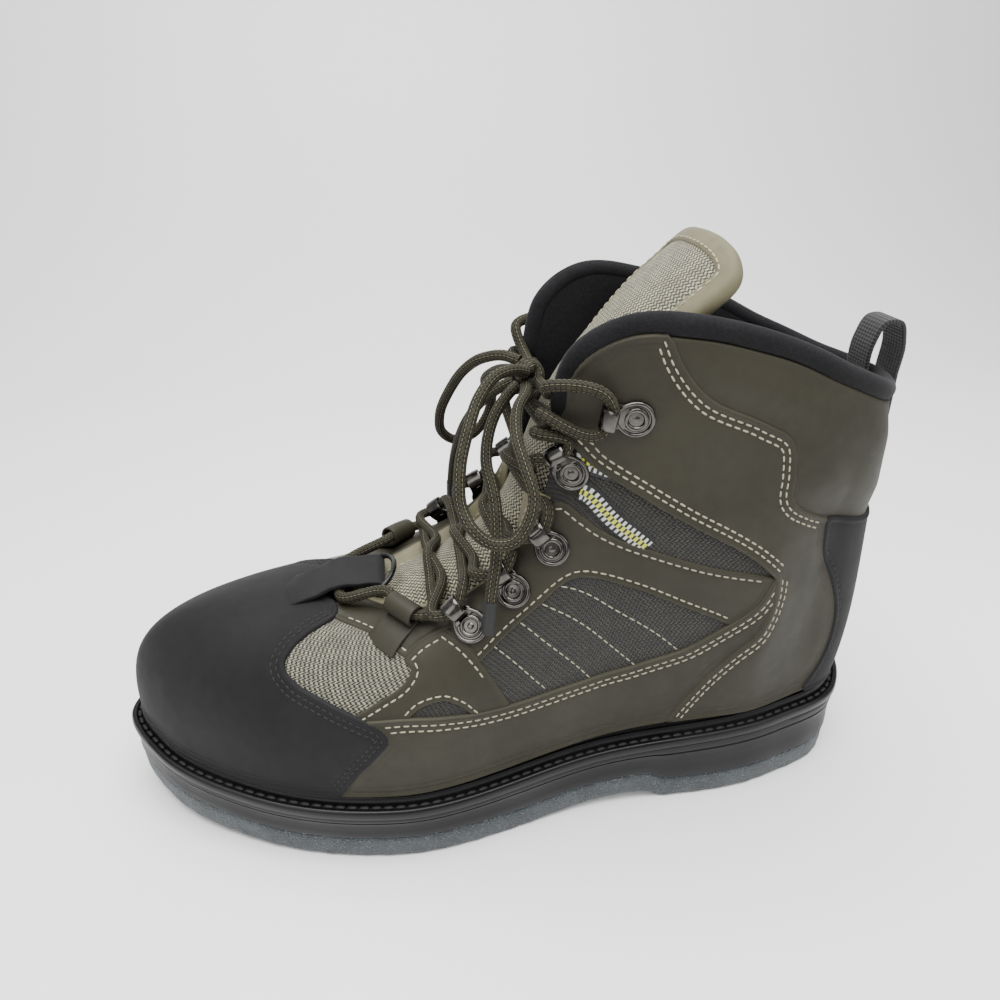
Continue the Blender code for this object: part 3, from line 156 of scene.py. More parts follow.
# Seams of the upper, one row a point: name, share round the side, share up
SEAMS = {
    "cap edge": [
        ("welt", 0.693, 0.030),
        ("foot of tip", 0.671, 0.127),
        ("below tip", 0.648, 0.224),
        ("tip", 0.638, 0.285),
        ("above tip", 0.647, 0.336),
        ("band end", 0.666, 0.378),
        ("flank", 0.681, 0.405),
        ("window low", 0.726, 0.477),
        ("window side", 0.770, 0.540),
        ("window front", 0.801, 0.610),
        ("window top", 0.819, 0.700),
        ("shoulder", 0.832, 0.790),
        ("neck", 0.846, 0.880),
        ("tab foot", 0.875, 0.915),
        ("tab end", 0.905, 0.930),
    ],
    "band top": [
        ("cap", 0.666, 0.378),
        ("front", 0.624, 0.369),
        ("dip", 0.581, 0.330),
        ("ball", 0.535, 0.283),
        ("strap foot", 0.505, 0.260),
        ("waist", 0.460, 0.237),
        ("low point", 0.408, 0.216),
        ("rise", 0.362, 0.210),
        ("sweep", 0.319, 0.233),
        ("saddle foot", 0.268, 0.323),
        ("ankle", 0.236, 0.405),
        ("meeting point", 0.217, 0.498),
    ],
    "counter seam": [
        ("meeting point", 0.217, 0.498),
        ("turn", 0.215, 0.430),
        ("back", 0.231, 0.315),
        ("slant", 0.262, 0.228),
        ("lower slant", 0.295, 0.130),
        ("welt", 0.324, 0.030),
    ],
    "strap front": [
        ("cap", 0.679, 0.402),
        ("low", 0.657, 0.469),
        ("side", 0.637, 0.536),
        ("middle", 0.635, 0.596),
        ("top", 0.655, 0.675),
    ],
    "strap top": [
        ("front", 0.655, 0.675),
        ("point", 0.647, 0.741),
        ("back", 0.627, 0.778),
    ],
    "strap back": [
        ("top", 0.627, 0.778),
        ("upper", 0.597, 0.690),
        ("saddle", 0.554, 0.518),
        ("lower", 0.538, 0.437),
        ("foot", 0.505, 0.260),
    ],
    "small window": [
        ("back", 0.543, 0.290),
        ("rise", 0.565, 0.373),
        ("crown", 0.589, 0.425),
        ("front", 0.609, 0.422),
        ("foot", 0.623, 0.369),
    ],
    "arm": [
        ("strap", 0.655, 0.675),
        ("middle", 0.707, 0.777),
        ("slope", 0.768, 0.844),
        ("cap", 0.846, 0.880),
    ],
    "ankle low": [
        ("throat", 0.506, 0.985),
        ("edge", 0.465, 0.880),
        ("front", 0.410, 0.700),
        ("slope", 0.348, 0.553),
        ("level", 0.295, 0.500),
        ("meeting point", 0.217, 0.498),
    ],
    "ankle high": [
        ("throat", 0.444, 0.985),
        ("edge", 0.420, 0.920),
        ("front", 0.370, 0.760),
        ("middle", 0.310, 0.628),
        ("rear", 0.240, 0.535),
        ("meeting point", 0.217, 0.498),
    ],
    "saddle low": [
        ("band", 0.268, 0.323),
        ("rear", 0.318, 0.375),
        ("middle", 0.395, 0.500),
        ("crown", 0.456, 0.590),
        ("front", 0.528, 0.580),
        ("strap", 0.554, 0.518),
    ],
    "collar seam": [
        ("topline", 0.320, 0.985),
        ("drop", 0.313, 0.947),
        ("bend", 0.294, 0.891),
        ("shelf", 0.252, 0.860),
        ("shelf end", 0.227, 0.838),
        ("back", 0.221, 0.778),
        ("foot", 0.218, 0.713),
        ("heel shelf", 0.189, 0.685),
        ("backstay", 0.166, 0.678),
    ],
    "backstay edge": [
        ("top", 0.166, 0.678),
        ("tab", 0.158, 0.592),
        ("narrowing", 0.138, 0.480),
        ("middle", 0.120, 0.330),
        ("lower", 0.124, 0.140),
        ("welt", 0.143, 0.030),
    ],
}


def through(knots, values, at, period=None):
    """A smooth curve through the values, read at the given places."""
    k = np.asarray(knots, float)
    v = np.asarray(values, float)
    if v.ndim == 1:
        v = v[:, None]
    at = np.asarray(at, float)
    if period:
        k = np.r_[k[-2] - period, k[-1] - period, k, k[0] + period, k[1] + period]
        v = np.r_[v[-2:], v, v[:2]]
        at = np.mod(at - k[2], period) + k[2]
    step = np.diff(k)
    slope = np.diff(v, axis=0) / step[:, None]
    tangent = np.empty_like(v)
    weighted = step[1:, None] * slope[:-1] + step[:-1, None] * slope[1:]
    tangent[1:-1] = weighted / (step[:-1] + step[1:])[:, None]
    tangent[0] = slope[0]
    tangent[-1] = slope[-1]
    i = np.clip(np.searchsorted(k, at, side="right") - 1, 0, len(step) - 1)
    t = ((at - k[i]) / step[i])[:, None]
    h = step[i][:, None]
    start = v[i] * (1 + 2 * t) * (1 - t) ** 2 + tangent[i] * h * t * (1 - t) ** 2
    end = v[i + 1] * t * t * (3 - 2 * t) + tangent[i + 1] * h * t * t * (t - 1)
    return (start + end).squeeze()


def unit(vectors):
    """Rows of vectors, each made one long."""
    return vectors / np.linalg.norm(vectors, axis=-1, keepdims=True)


def distances(line):
    """The distance run at each point of a line."""
    return np.r_[0.0, np.cumsum(np.linalg.norm(np.diff(line, axis=0), axis=1))]


def read_along(values, run, where):
    """Values of a line, read at distances along it."""
    return np.stack([np.interp(where, run, values[:, k]) for k in range(values.shape[1])], axis=1)


def smooth_line(points, spacing):
    """A smooth line through given points, divided evenly by arc length."""
    points = np.asarray(points, float)
    knots = distances(points)
    fine = through(knots, points, np.linspace(0.0, knots[-1], 40 * len(points)))
    run = distances(fine)
    count = max(2, int(round(run[-1] / spacing)) + 1)
    return read_along(fine, run, np.linspace(0.0, run[-1], count))


def on_side(share, side):
    """The place round the whole sole, u, of a share along the outer (1) or inner (-1) side."""
    return share * 0.5 if side > 0 else 1 - share * 0.5


def smoothstep(t):
    t = np.clip(t, 0.0, 1.0)
    return t * t * (3 - 2 * t)


# The sole's outline and heights

OUTLINE_POINTS = np.array([(along * SOLE_LENGTH, width * across) for _, along, width, across in OUTLINE])
closed_outline = np.r_[OUTLINE_POINTS, OUTLINE_POINTS[:1]]
OUTLINE_RUN = distances(closed_outline)
OUTLINE_PERIMETER = OUTLINE_RUN[-1]
OUTLINE_TOE = OUTLINE_RUN[TOE_TIP_ROW]


def outline(u, inset=0.0):
    """The outline: from the heel back along the outer side to the toe tip (0.5), home on the inner side."""
    u = np.mod(np.asarray(u, float), 1.0)
    outer = u / 0.5 * OUTLINE_TOE
    inner = OUTLINE_TOE + (u - 0.5) / 0.5 * (OUTLINE_PERIMETER - OUTLINE_TOE)
    s = np.where(u <= 0.5, outer, inner)
    e = 1e-4 * OUTLINE_PERIMETER
    point = through(OUTLINE_RUN[:-1], OUTLINE_POINTS, s, OUTLINE_PERIMETER)
    ahead = through(OUTLINE_RUN[:-1], OUTLINE_POINTS, s + e, OUTLINE_PERIMETER)
    behind = through(OUTLINE_RUN[:-1], OUTLINE_POINTS, s - e, OUTLINE_PERIMETER)
    t = unit(ahead - behind)
    outward = np.stack([-t[..., 1], t[..., 0]], axis=-1)
    return point - inset * outward


def spring(x):
    return TOE_SPRING * np.clip((x / SOLE_LENGTH - 0.70) / 0.30, 0.0, 1.0) ** 2


def ground(x):
    """Height of the walking face: flat heel, breast step, lifted arch, flat forefoot and toe spring."""
    share = x / SOLE_LENGTH
    breast = smoothstep((share - BREAST[0]) / (BREAST[1] - BREAST[0]))
    arch = 1.0 - smoothstep((share - 0.34) / 0.17)
    return ARCH_LIFT * breast * arch + spring(x)


def bed(x):
    """Height of the top of the midsole, where the lower edge of the upper meets it."""
    return BALL_SEAT + (HEEL_SEAT - BALL_SEAT) * smoothstep((0.66 - x / SOLE_LENGTH) / 0.56) + spring(x)


# The lasted surface

STATION_SHARES = np.array([row[1] for row in STATIONS])
STATION_VALUES = np.array([row[2:] for row in STATIONS])
SIDE_FLIP = np.array([1, -1, 1, 1, 1, 1, -1, 1])
ALL_SHARES = np.r_[-STATION_SHARES[2:0:-1], STATION_SHARES, 2 - STATION_SHARES[-2:-4:-1]]
ALL_VALUES = np.r_[STATION_VALUES[2:0:-1] * SIDE_FLIP, STATION_VALUES, STATION_VALUES[-2:-4:-1] * SIDE_FLIP]


def lasted(u, v):
    """Outer face of the bare upper: u runs round the sole, v from the sole edge to the collar or throat."""
    u, v = np.broadcast_arrays(np.mod(np.asarray(u, float), 1.0), np.asarray(v, float))
    shape = u.shape
    u = u.ravel()
    v = v.ravel()
    side = np.where(u <= 0.5, 1.0, -1.0)
    share = np.where(u <= 0.5, u / 0.5, (1 - u) / 0.5)
    row = through(ALL_SHARES, ALL_VALUES, share).reshape(len(u), -1)
    foot_plan = outline(u, WELT_PROJECTION)
    foot = np.c_[foot_plan, bed(foot_plan[:, 0]) + GAP]
    flap = INNER_FLAP_RISE * np.exp(-((share - 0.37) / 0.08) ** 2) * (side < 0)
    top = np.c_[row[:, 0] * SOLE_LENGTH, side * row[:, 1] * BALL_WIDTH, row[:, 2] * COLLAR_HEIGHT + flap]
    rise, swell, along, across_lean, arrive = row[:, 3], row[:, 4], row[:, 5], row[:, 6], row[:, 7]
    plan = top[:, :2] - foot[:, :2]
    reach = np.maximum(np.linalg.norm(plan, axis=1), 1e-6)[:, None]
    plan = plan / reach
    height = top[:, 2] - foot[:, 2]
    lower = foot + np.c_[-plan * (swell * SOLE_LENGTH)[:, None], rise * height]
    upper = top + np.c_[along * SOLE_LENGTH, side * across_lean * BALL_WIDTH, -arrive * height]
    t = v[:, None]
    point = foot * (1 - t) ** 3 + 3 * lower * t * (1 - t) ** 2 + 3 * upper * t * t * (1 - t) + top * t ** 3
    return point.reshape(*shape, 3)


# %% [markdown]
# ## A fine copy of the last
# The last is read once on a fine net of places, given the soft creases of a boot that has been handled, and
# from then on any point of the upper is looked up there: a place (u, v) and a height over it.

# %% Creases and the fine net
PATTERN = np.array([OUTLINE_PERIMETER, 130 * MM])
FINE_U = 960
FINE_V = 130

# Creases: side, first place (share, up), second place, half width, height (below zero: trough)
CREASES = [
    (1, (0.405, 0.960), (0.330, 0.760), 9.0 * MM, -1.3 * MM),
    (1, (0.370, 0.700), (0.300, 0.590), 7.0 * MM, 0.7 * MM),
    (1, (0.300, 0.800), (0.245, 0.620), 9.0 * MM, -0.8 * MM),
    (1, (0.500, 0.700), (0.440, 0.560), 5.0 * MM, -0.7 * MM),
    (1, (0.560, 0.560), (0.500, 0.380), 8.0 * MM, -0.5 * MM),
    (1, (0.420, 0.420), (0.330, 0.300), 9.0 * MM, 0.5 * MM),
    (1, (0.690, 0.250), (0.640, 0.120), 8.0 * MM, -0.5 * MM),
    (1, (0.780, 0.820), (0.700, 0.640), 5.0 * MM, -0.6 * MM),
    (-1, (0.405, 0.960), (0.320, 0.740), 9.0 * MM, -1.2 * MM),
    (-1, (0.360, 0.660), (0.290, 0.560), 8.0 * MM, 0.6 * MM),
    (-1, (0.520, 0.640), (0.450, 0.500), 6.0 * MM, -0.6 * MM),
    (-1, (0.740, 0.700), (0.680, 0.520), 6.0 * MM, -0.5 * MM),
]


def crease_height(u, v):
    """Height of all creases together at places of the upper."""
    total = np.zeros(np.broadcast(u, v).shape)
    side = np.where(np.mod(u, 1.0) <= 0.5, 1, -1)
    share = np.where(side > 0, np.mod(u, 1.0), 1 - np.mod(u, 1.0)) * 2
    here = np.stack(np.broadcast_arrays(share * 0.5 * PATTERN[0], v * PATTERN[1]), axis=-1)
    for which, first, second, half, height in CREASES:
        a = np.array([first[0] * 0.5, first[1]]) * PATTERN
        b = np.array([second[0] * 0.5, second[1]]) * PATTERN
        t = np.clip(((here - a) @ (b - a)) / np.dot(b - a, b - a), 0, 1)
        off = np.linalg.norm(here - a - t[..., None] * (b - a), axis=-1)
        total += (side == which) * height * np.exp(-(off / half) ** 2) * (0.35 + 0.65 * np.sin(np.pi * t))
    return total


net_u = np.linspace(0.0, 1.0, FINE_U + 1)
net_v = np.linspace(0.0, 1.0, FINE_V + 1)
SKIN = lasted(net_u[:, None], net_v[None, :])
SKIN[..., 0] -= HEEL_CENTRE


def net_normals(net):
    """Unit normals of a closed net, facing out of the boot."""
    along = np.roll(net[:-1], -1, axis=0) - np.roll(net[:-1], 1, axis=0)
    along = np.concatenate([along, along[:1]])
    up = np.gradient(net, axis=1)
    normal = np.cross(up, along)
    return normal / np.maximum(np.linalg.norm(normal, axis=-1, keepdims=True), 1e-12)


SKIN = SKIN + net_normals(SKIN) * crease_height(net_u[:, None], net_v[None, :])[..., None]
NORMAL = net_normals(SKIN)
deepest = min(crease[4] for crease in CREASES)
print("net of", SKIN.shape[0] * SKIN.shape[1], "places, deepest crease", round(deepest / MM, 1), "mm")


# %% [markdown]
# These read the net: a point, its normal, a line moved sideways, a seam by its name, and seams made one loop.

# %% Looking places up
def look(net, places):
    """Values of a net at places (u, v)."""
    places = np.asarray(places, float)
    a = np.mod(places[..., 0], 1.0) * FINE_U
    b = np.clip(places[..., 1], 0.0, 1.0) * FINE_V
    i = np.clip(a.astype(int), 0, FINE_U - 1)
    j = np.clip(b.astype(int), 0, FINE_V - 1)
    a = (a - i)[..., None]
    b = (b - j)[..., None]
    return (net[i, j] * (1 - a) * (1 - b) + net[i + 1, j] * a * (1 - b)
            + net[i, j + 1] * (1 - a) * b + net[i + 1, j + 1] * a * b)


def facing(places):
    """Unit normals of the upper at places."""
    return unit(look(NORMAL, places))


def on_skin(places, lift=0.0):
    """Points on the upper at places, lifted by one height or one for each place."""
    lift = np.asarray(lift, float)
    return look(SKIN, places) + facing(places) * (lift[..., None] if lift.ndim else lift)


def shifted(loop, by, closed=True):
    """Places moved inwards (to the right of the way for an open line) by a true distance on the upper."""
    loop = np.asarray(loop, float)
    here = on_skin(loop)
    if closed:
        run = np.roll(here, -1, axis=0) - np.roll(here, 1, axis=0)
        x, y = (loop * PATTERN).T
        turn = 1.0 if np.sum(x * np.roll(y, -1) - np.roll(x, -1) * y) > 0 else -1.0
    else:
        run = np.gradient(here, axis=0)
        turn = 1.0
    run = run / np.maximum(np.linalg.norm(run, axis=1, keepdims=True), 1e-12)
    inward = np.cross(run, facing(loop)) * turn
    e = np.array([1.5e-3, 0.0]), np.array([0.0, 8e-3])
    du = (look(SKIN, loop + e[0]) - look(SKIN, loop - e[0])) / (2 * e[0][0])
    low = np.clip(loop - e[1], 0, 1)
    high = np.clip(loop + e[1], 0, 1)
    dv = (look(SKIN, high) - look(SKIN, low)) / (high - low)[:, 1:]
    aa, ab, bb = (du * du).sum(1), (du * dv).sum(1), (dv * dv).sum(1)
    ra, rb = (du * inward).sum(1), (dv * inward).sum(1)
    det = aa * bb - ab * ab
    step = np.stack([(ra * bb - rb * ab) / det, (rb * aa - ra * ab) / det], axis=1)
    by = np.asarray(by, float)
    return loop + step * (by[:, None] if by.ndim else by)


def seam(name, side, first=None, last=None, backward=False, heel=False, spacing=2.0 * MM):
    """A seam, or its run between two rows, as places; heel panels count the inner side below zero."""
    names = [row[0] for row in SEAMS[name]]
    rows = np.array([(share * 0.5, up) for _, share, up in SEAMS[name]]) * PATTERN
    knots = distances(rows)
    start = names.index(first) if first else 0
    stop = names.index(last) if last else len(names) - 1
    count = max(2, int((knots[stop] - knots[start]) / spacing) + 1)
    line = through(knots, rows, np.linspace(knots[start], knots[stop], count)) / PATTERN
    if side < 0:
        line[:, 0] = -line[:, 0] if heel else 1 - line[:, 0]
    return line[::-1] if backward else line


def joined(lines, spacing=2.0 * MM):
    """Seams joined end to end into one loop, read again at an even spacing."""
    loop = np.concatenate([np.asarray(line, float) for line in lines])
    keep = [loop[0]]
    for point in loop[1:]:
        if np.linalg.norm((point - keep[-1]) * PATTERN) > 0.4 * MM:
            keep.append(point)
    if np.linalg.norm((keep[0] - keep[-1]) * PATTERN) < 0.4 * MM:
        keep.pop()
    keep.append(keep[0])
    keep = np.array(keep)
    run = distances(keep * PATTERN)
    return read_along(keep, run, np.linspace(0.0, run[-1], int(run[-1] / spacing) + 1)[:-1])


def inside(points, loop):
    """Which points of the plane lie inside the closed loop."""
    x, y = points[:, 0], points[:, 1]
    hit = np.zeros(len(points), bool)
    for (x0, y0), (x1, y1) in zip(loop, np.roll(loop, -1, axis=0)):
        cross = (y0 > y) != (y1 > y)
        rise = y1 - y0 if y1 != y0 else 1e-12
        hit ^= cross & (x < x0 + (y - y0) / rise * (x1 - x0))
    return hit


# %% [markdown]
# ## Finishes
# Each finish is a Principled BSDF fed by procedural patterns on Object coordinates or on the piece's own UV
# map. Patterns that several finishes share (pebbled grain, open mesh, speckle) are built once as node groups.

# %% Shader helpers
def new_group(name, inputs, outputs):
    """A shader node group with named sockets: (name, kind, default) in, (name, kind) out."""
    group = bpy.data.node_groups.new(name, "ShaderNodeTree")
    for label, kind, default in inputs:
        socket = group.interface.new_socket(label, in_out="INPUT", socket_type=kind)
        if default is not None:
            socket.default_value = default
    for label, kind in outputs:
        group.interface.new_socket(label, in_out="OUTPUT", socket_type=kind)
    return group, group.nodes.new("NodeGroupInput"), group.nodes.new("NodeGroupOutput")


def node(tree, kind, settings=None, **wires):
    """A node with its settings, its sockets fed by values or by other sockets."""
    made = tree.nodes.new(kind)
    for key, value in (settings or {}).items():
        setattr(made, key, value)
    for key, value in wires.items():
        by_number = key[0] == "_" and key[1:].isdigit()
        socket = made.inputs[int(key[1:]) if by_number else key.replace("__", " ")]
        if isinstance(value, bpy.types.NodeSocket):
            tree.links.new(value, socket)
        else:
            socket.default_value = value
    return made


def maths(tree, operation, a, b=None, c=None):
    wires = {"_0": a}
    if b is not None:
        wires["_1"] = b
    if c is not None:
        wires["_2"] = c
    return node(tree, "ShaderNodeMath", {"operation": operation}, **wires).outputs[0]


def blend_colour(tree, factor, first, second):
    made = tree.nodes.new("ShaderNodeMix")
    made.data_type = "RGBA"
    for place, value in ((0, factor), (6, first), (7, second)):
        if isinstance(value, bpy.types.NodeSocket):
            tree.links.new(value, made.inputs[place])
        else:
            made.inputs[place].default_value = value if place == 0 else (*value, 1.0)
    return made.outputs[2]


def stretch(tree, value, low, high, to_low=0.0, to_high=1.0, smooth=True):
    made = node(tree, "ShaderNodeMapRange", {"interpolation_type": "SMOOTHSTEP" if smooth else "LINEAR"},
                _0=value, _1=low, _2=high, _3=to_low, _4=to_high)
    return made.outputs[0]


def finish(name, roughness=0.6, metallic=0.0, **sockets):
    """A new material, its tree and its coordinates."""
    mat = bpy.data.materials.new(name)
    mat.use_nodes = True
    tree = mat.node_tree
    shader = tree.nodes["Principled BSDF"]
    shader.inputs["Roughness"].default_value = roughness
    shader.inputs["Metallic"].default_value = metallic
    for key, value in sockets.items():
        shader.inputs[key.replace("__", " ")].default_value = value
    place = tree.nodes.new("ShaderNodeTexCoord")
    return mat, tree, place


def wired(mat, tone, height, strength, distance, roughness=None):
    """Leads colour, relief and, where it varies, roughness into the shader."""
    tree = mat.node_tree
    shader = tree.nodes["Principled BSDF"]
    tree.links.new(tone, shader.inputs["Base Color"])
    if roughness is not None:
        tree.links.new(roughness, shader.inputs["Roughness"])
    relief = node(tree, "ShaderNodeBump", {}, Strength=strength, Distance=distance, Height=height)
    tree.links.new(relief.outputs[0], shader.inputs["Normal"])
    return mat


def grouped(tree, group, **wires):
    """One of the shared patterns, put into a material."""
    return node(tree, "ShaderNodeGroup", {"node_tree": group}, **wires)


def noise(tree, vector, scale, detail):
    return node(tree, "ShaderNodeTexNoise", {}, Vector=vector, Scale=scale, Detail=detail).outputs[0]


# %% [markdown]
# Three patterns are shared by several finishes, each built once.

# %% Shared patterns: pebbled grain, mesh and speckle
def build_grain():
    """Pebbled skin of leather or coated synthetic: fine cells over soft hills."""
    group, start, end = new_group("pebbled_grain", [
        ("Place", "NodeSocketVector", None), ("Pebbles per metre", "NodeSocketFloat", 1500.0),
    ], [("Height", "NodeSocketFloat"), ("Tone", "NodeSocketFloat")])
    cells = node(group, "ShaderNodeTexVoronoi", {}, Vector=start.outputs[0], Scale=start.outputs[1])
    hills = noise(group, start.outputs[0], 220.0, 4.0)
    broad = noise(group, start.outputs[0], 38.0, 3.0)
    fine = stretch(group, cells.outputs["Distance"], 0.0, 0.7, 1.0, 0.0)
    height = maths(group, "MULTIPLY_ADD", hills, 0.9, maths(group, "MULTIPLY", fine, 0.35))
    group.links.new(height, end.inputs[0])
    group.links.new(maths(group, "MULTIPLY_ADD", broad, 0.65,
                          maths(group, "MULTIPLY", hills, 0.35)), end.inputs[1])
    return group


def build_knit():
    """Open mesh on a UV map in metres: rows of leaning loops with a dark hole between."""
    group, start, end = new_group("open_knit", [
        ("Place", "NodeSocketVector", None), ("Loops per metre", "NodeSocketFloat", 480.0),
        ("Rows per metre", "NodeSocketFloat", 620.0),
    ], [("Height", "NodeSocketFloat"), ("Hole", "NodeSocketFloat"), ("Lean", "NodeSocketFloat")])
    parts = node(group, "ShaderNodeSeparateXYZ", {}, _0=start.outputs[0])
    x = maths(group, "MULTIPLY", parts.outputs[0], start.outputs[1])
    y = maths(group, "MULTIPLY", parts.outputs[1], start.outputs[2])
    row = maths(group, "FLOOR", y)
    odd = maths(group, "MODULO", maths(group, "ABSOLUTE", row), 2.0)
    fy = maths(group, "SUBTRACT", maths(group, "FRACT", y), 0.5)
    tilt = maths(group, "MULTIPLY", maths(group, "MULTIPLY_ADD", odd, 2.0, -1.0), 0.42)
    lean = maths(group, "MULTIPLY", fy, tilt)
    shifted_x = maths(group, "ADD", maths(group, "MULTIPLY_ADD", odd, 0.5, x), lean)
    fx = maths(group, "SUBTRACT", maths(group, "FRACT", shifted_x), 0.5)
    ridge = stretch(group, maths(group, "ABSOLUTE", fx), 0.12, 0.37, 1.0, 0.0)
    ends = stretch(group, maths(group, "ABSOLUTE", fy), 0.30, 0.5, 1.0, 0.35)
    height = maths(group, "MULTIPLY", ridge, ends)
    group.links.new(height, end.inputs[0])
    group.links.new(stretch(group, height, 0.05, 0.50, 1.0, 0.0), end.inputs[1])
    group.links.new(odd, end.inputs[2])
    return group


def build_speckle():
    """Random flecks: a share of small cells stands out from the rest."""
    group, start, end = new_group("speckle", [
        ("Place", "NodeSocketVector", None), ("Flecks per metre", "NodeSocketFloat", 900.0),
        ("Share", "NodeSocketFloat", 0.2),
    ], [("Fleck", "NodeSocketFloat"), ("Value", "NodeSocketFloat")])
    cells = node(group, "ShaderNodeTexVoronoi", {}, Vector=start.outputs[0], Scale=start.outputs[1])
    grey = node(group, "ShaderNodeSeparateColor", {}, _0=cells.outputs["Color"])
    chosen = maths(group, "LESS_THAN", grey.outputs[0], start.outputs[2])
    core = stretch(group, cells.outputs["Distance"], 0.25, 0.5, 1.0, 0.0)
    group.links.new(maths(group, "MULTIPLY", chosen, core), end.inputs[0])
    group.links.new(grey.outputs[1], end.inputs[1])
    return group


GRAIN = build_grain()
KNIT = build_knit()
SPECKLE = build_speckle()
print("pattern groups:", GRAIN.name, KNIT.name, SPECKLE.name)


# %% [markdown]
# Panels carry an attribute called edge, 1 on the cut edge and fading to 0 a millimetre in. The coated
# finishes mix a lighter tone in along it: a painted highlight on the rolled edge.

# %% Coated synthetic, nubuck and padding
def coated(name, colour, dust_and_highlight_colour, roughness, grain=1500.0, strength=0.18, sheen=0.0):
    mat, tree, place = finish(name, roughness, Sheen__Weight=sheen, Specular__IOR__Level=0.28)
    skin = grouped(tree, GRAIN, Place=place.outputs["Object"], Pebbles__per__metre=grain)
    dark = tuple(c * 0.88 for c in colour)
    light = tuple(min(1.0, c * 1.13) for c in colour)
    tone = blend_colour(tree, stretch(tree, skin.outputs["Tone"], 0.32, 0.68), dark, light)
    edge = node(tree, "ShaderNodeAttribute", {"attribute_name": "edge"})
    dust = grouped(tree, SPECKLE, Place=place.outputs["Object"], Flecks__per__metre=1400.0, Share=0.05)
    tone = blend_colour(tree, maths(tree, "MULTIPLY", dust.outputs["Fleck"], 0.10), tone, dust_and_highlight_colour)
    # Painted highlight: a lighter tone mixed in along the rolled cut edge, read from the edge attribute.
    tone = blend_colour(tree, maths(tree, "MULTIPLY", edge.outputs["Fac"], 0.75), tone, dust_and_highlight_colour)
    varied = stretch(tree, skin.outputs["Tone"], 0.2, 0.8, roughness + 0.08, roughness - 0.08, False)
    return wired(mat, tone, skin.outputs["Height"], strength, 0.35 * MM, varied)


OLIVE = coated("olive_synthetic", (0.0215, 0.0193, 0.0112), (0.044, 0.040, 0.025), 0.60)
OLIVE_SOFT = coated("olive_trim", (0.130, 0.119, 0.070), (0.190, 0.176, 0.112), 0.62, 1900.0, 0.15)
NUBUCK = coated("black_nubuck", (0.0042, 0.0041, 0.0047), (0.010, 0.010, 0.011), 0.78, 2600.0, 0.22, 0.02)


def padding(name, colour, light, rows=1100.0):
    """Fine brushed knit over foam."""
    mat, tree, place = finish(name, 0.9, Sheen__Weight=0.05, Sheen__Roughness=0.5, Specular__IOR__Level=0.2)
    fuzz = noise(tree, place.outputs["Object"], rows, 3.0)
    broad = noise(tree, place.outputs["Object"], 60.0, 3.0)
    mix = maths(tree, "MULTIPLY_ADD", fuzz, 0.6, maths(tree, "MULTIPLY", broad, 0.4))
    tone = blend_colour(tree, stretch(tree, mix, 0.35, 0.7), colour, light)
    return wired(mat, tone, fuzz, 0.35, 0.3 * MM)


PADDING = padding("black_padding", (0.0032, 0.0032, 0.0040), (0.0090, 0.0090, 0.0105))
LINING = padding("dark_lining", (0.0050, 0.0050, 0.0052), (0.0120, 0.0120, 0.0120), 900.0)


def knitted(name, thread, thread_low, pit, loops, rows, strength=0.75, roughness=0.85):
    mat, tree, place = finish(name, roughness, Sheen__Weight=0.1)
    knit = grouped(tree, KNIT, Place=place.outputs["UV"], Loops__per__metre=loops, Rows__per__metre=rows)
    wander = noise(tree, place.outputs["Object"], 260.0, 3.0)
    fine = noise(tree, place.outputs["Object"], 2600.0, 2.0)
    body = blend_colour(tree, stretch(tree, wander, 0.3, 0.7), thread_low, thread)
    body = blend_colour(tree, maths(tree, "MULTIPLY", knit.outputs["Lean"], 0.22), body, thread_low)
    tone = blend_colour(tree, knit.outputs["Hole"], body, pit)
    height = maths(tree, "MULTIPLY_ADD", fine, 0.18, knit.outputs["Height"])
    return wired(mat, tone, height, strength, 0.7 * MM)


LIGHT_MESH = knitted("light_mesh", (0.270, 0.258, 0.186), (0.165, 0.158, 0.114),
                     (0.008, 0.008, 0.006), 560.0, 800.0)
DARK_MESH = knitted("dark_mesh", (0.027, 0.0255, 0.0180), (0.0145, 0.0137, 0.0098),
                    (0.0008, 0.0008, 0.0007), 600.0, 820.0)
TONGUE_MESH = knitted("tongue_mesh", (0.360, 0.338, 0.225), (0.230, 0.216, 0.145),
                      (0.022, 0.021, 0.015), 560.0, 800.0)

# %% [markdown]
# The other finishes have their own patterns: dust and fine lines on the rubber, flecks in the felt, a braid on
# the cord and ribs on the webbing.

# %% Rubber, felt, metal, thread and cord
def rubber(name, colour, dusty, roughness):
    mat, tree, place = finish(name, roughness, Specular__IOR__Level=0.25)
    broad = noise(tree, place.outputs["Object"], 26.0, 5.0)
    fine = noise(tree, place.outputs["Object"], 1400.0, 2.0)
    streak = node(tree, "ShaderNodeMapping", {}, Vector=place.outputs["Object"], Scale=(18.0, 18.0, 420.0))
    lines = noise(tree, streak.outputs[0], 1.0, 3.0)
    mask = maths(tree, "MULTIPLY", stretch(tree, broad, 0.42, 0.72), 0.55)
    tone = blend_colour(tree, mask, colour, dusty)
    tone = blend_colour(tree, stretch(tree, lines, 0.56, 0.72, 0.0, 0.35), tone, dusty)
    varied = stretch(tree, broad, 0.3, 0.7, roughness - 0.08, roughness + 0.12, False)
    return wired(mat, tone, maths(tree, "ADD", fine, lines), 0.12, 0.3 * MM, varied)


RUBBER = rubber("black_rubber", (0.0035, 0.0035, 0.0040), (0.0100, 0.0100, 0.0105), 0.48)
WELT_RUBBER = rubber("welt_rubber", (0.0025, 0.0025, 0.0028), (0.0060, 0.0060, 0.0064), 0.36)


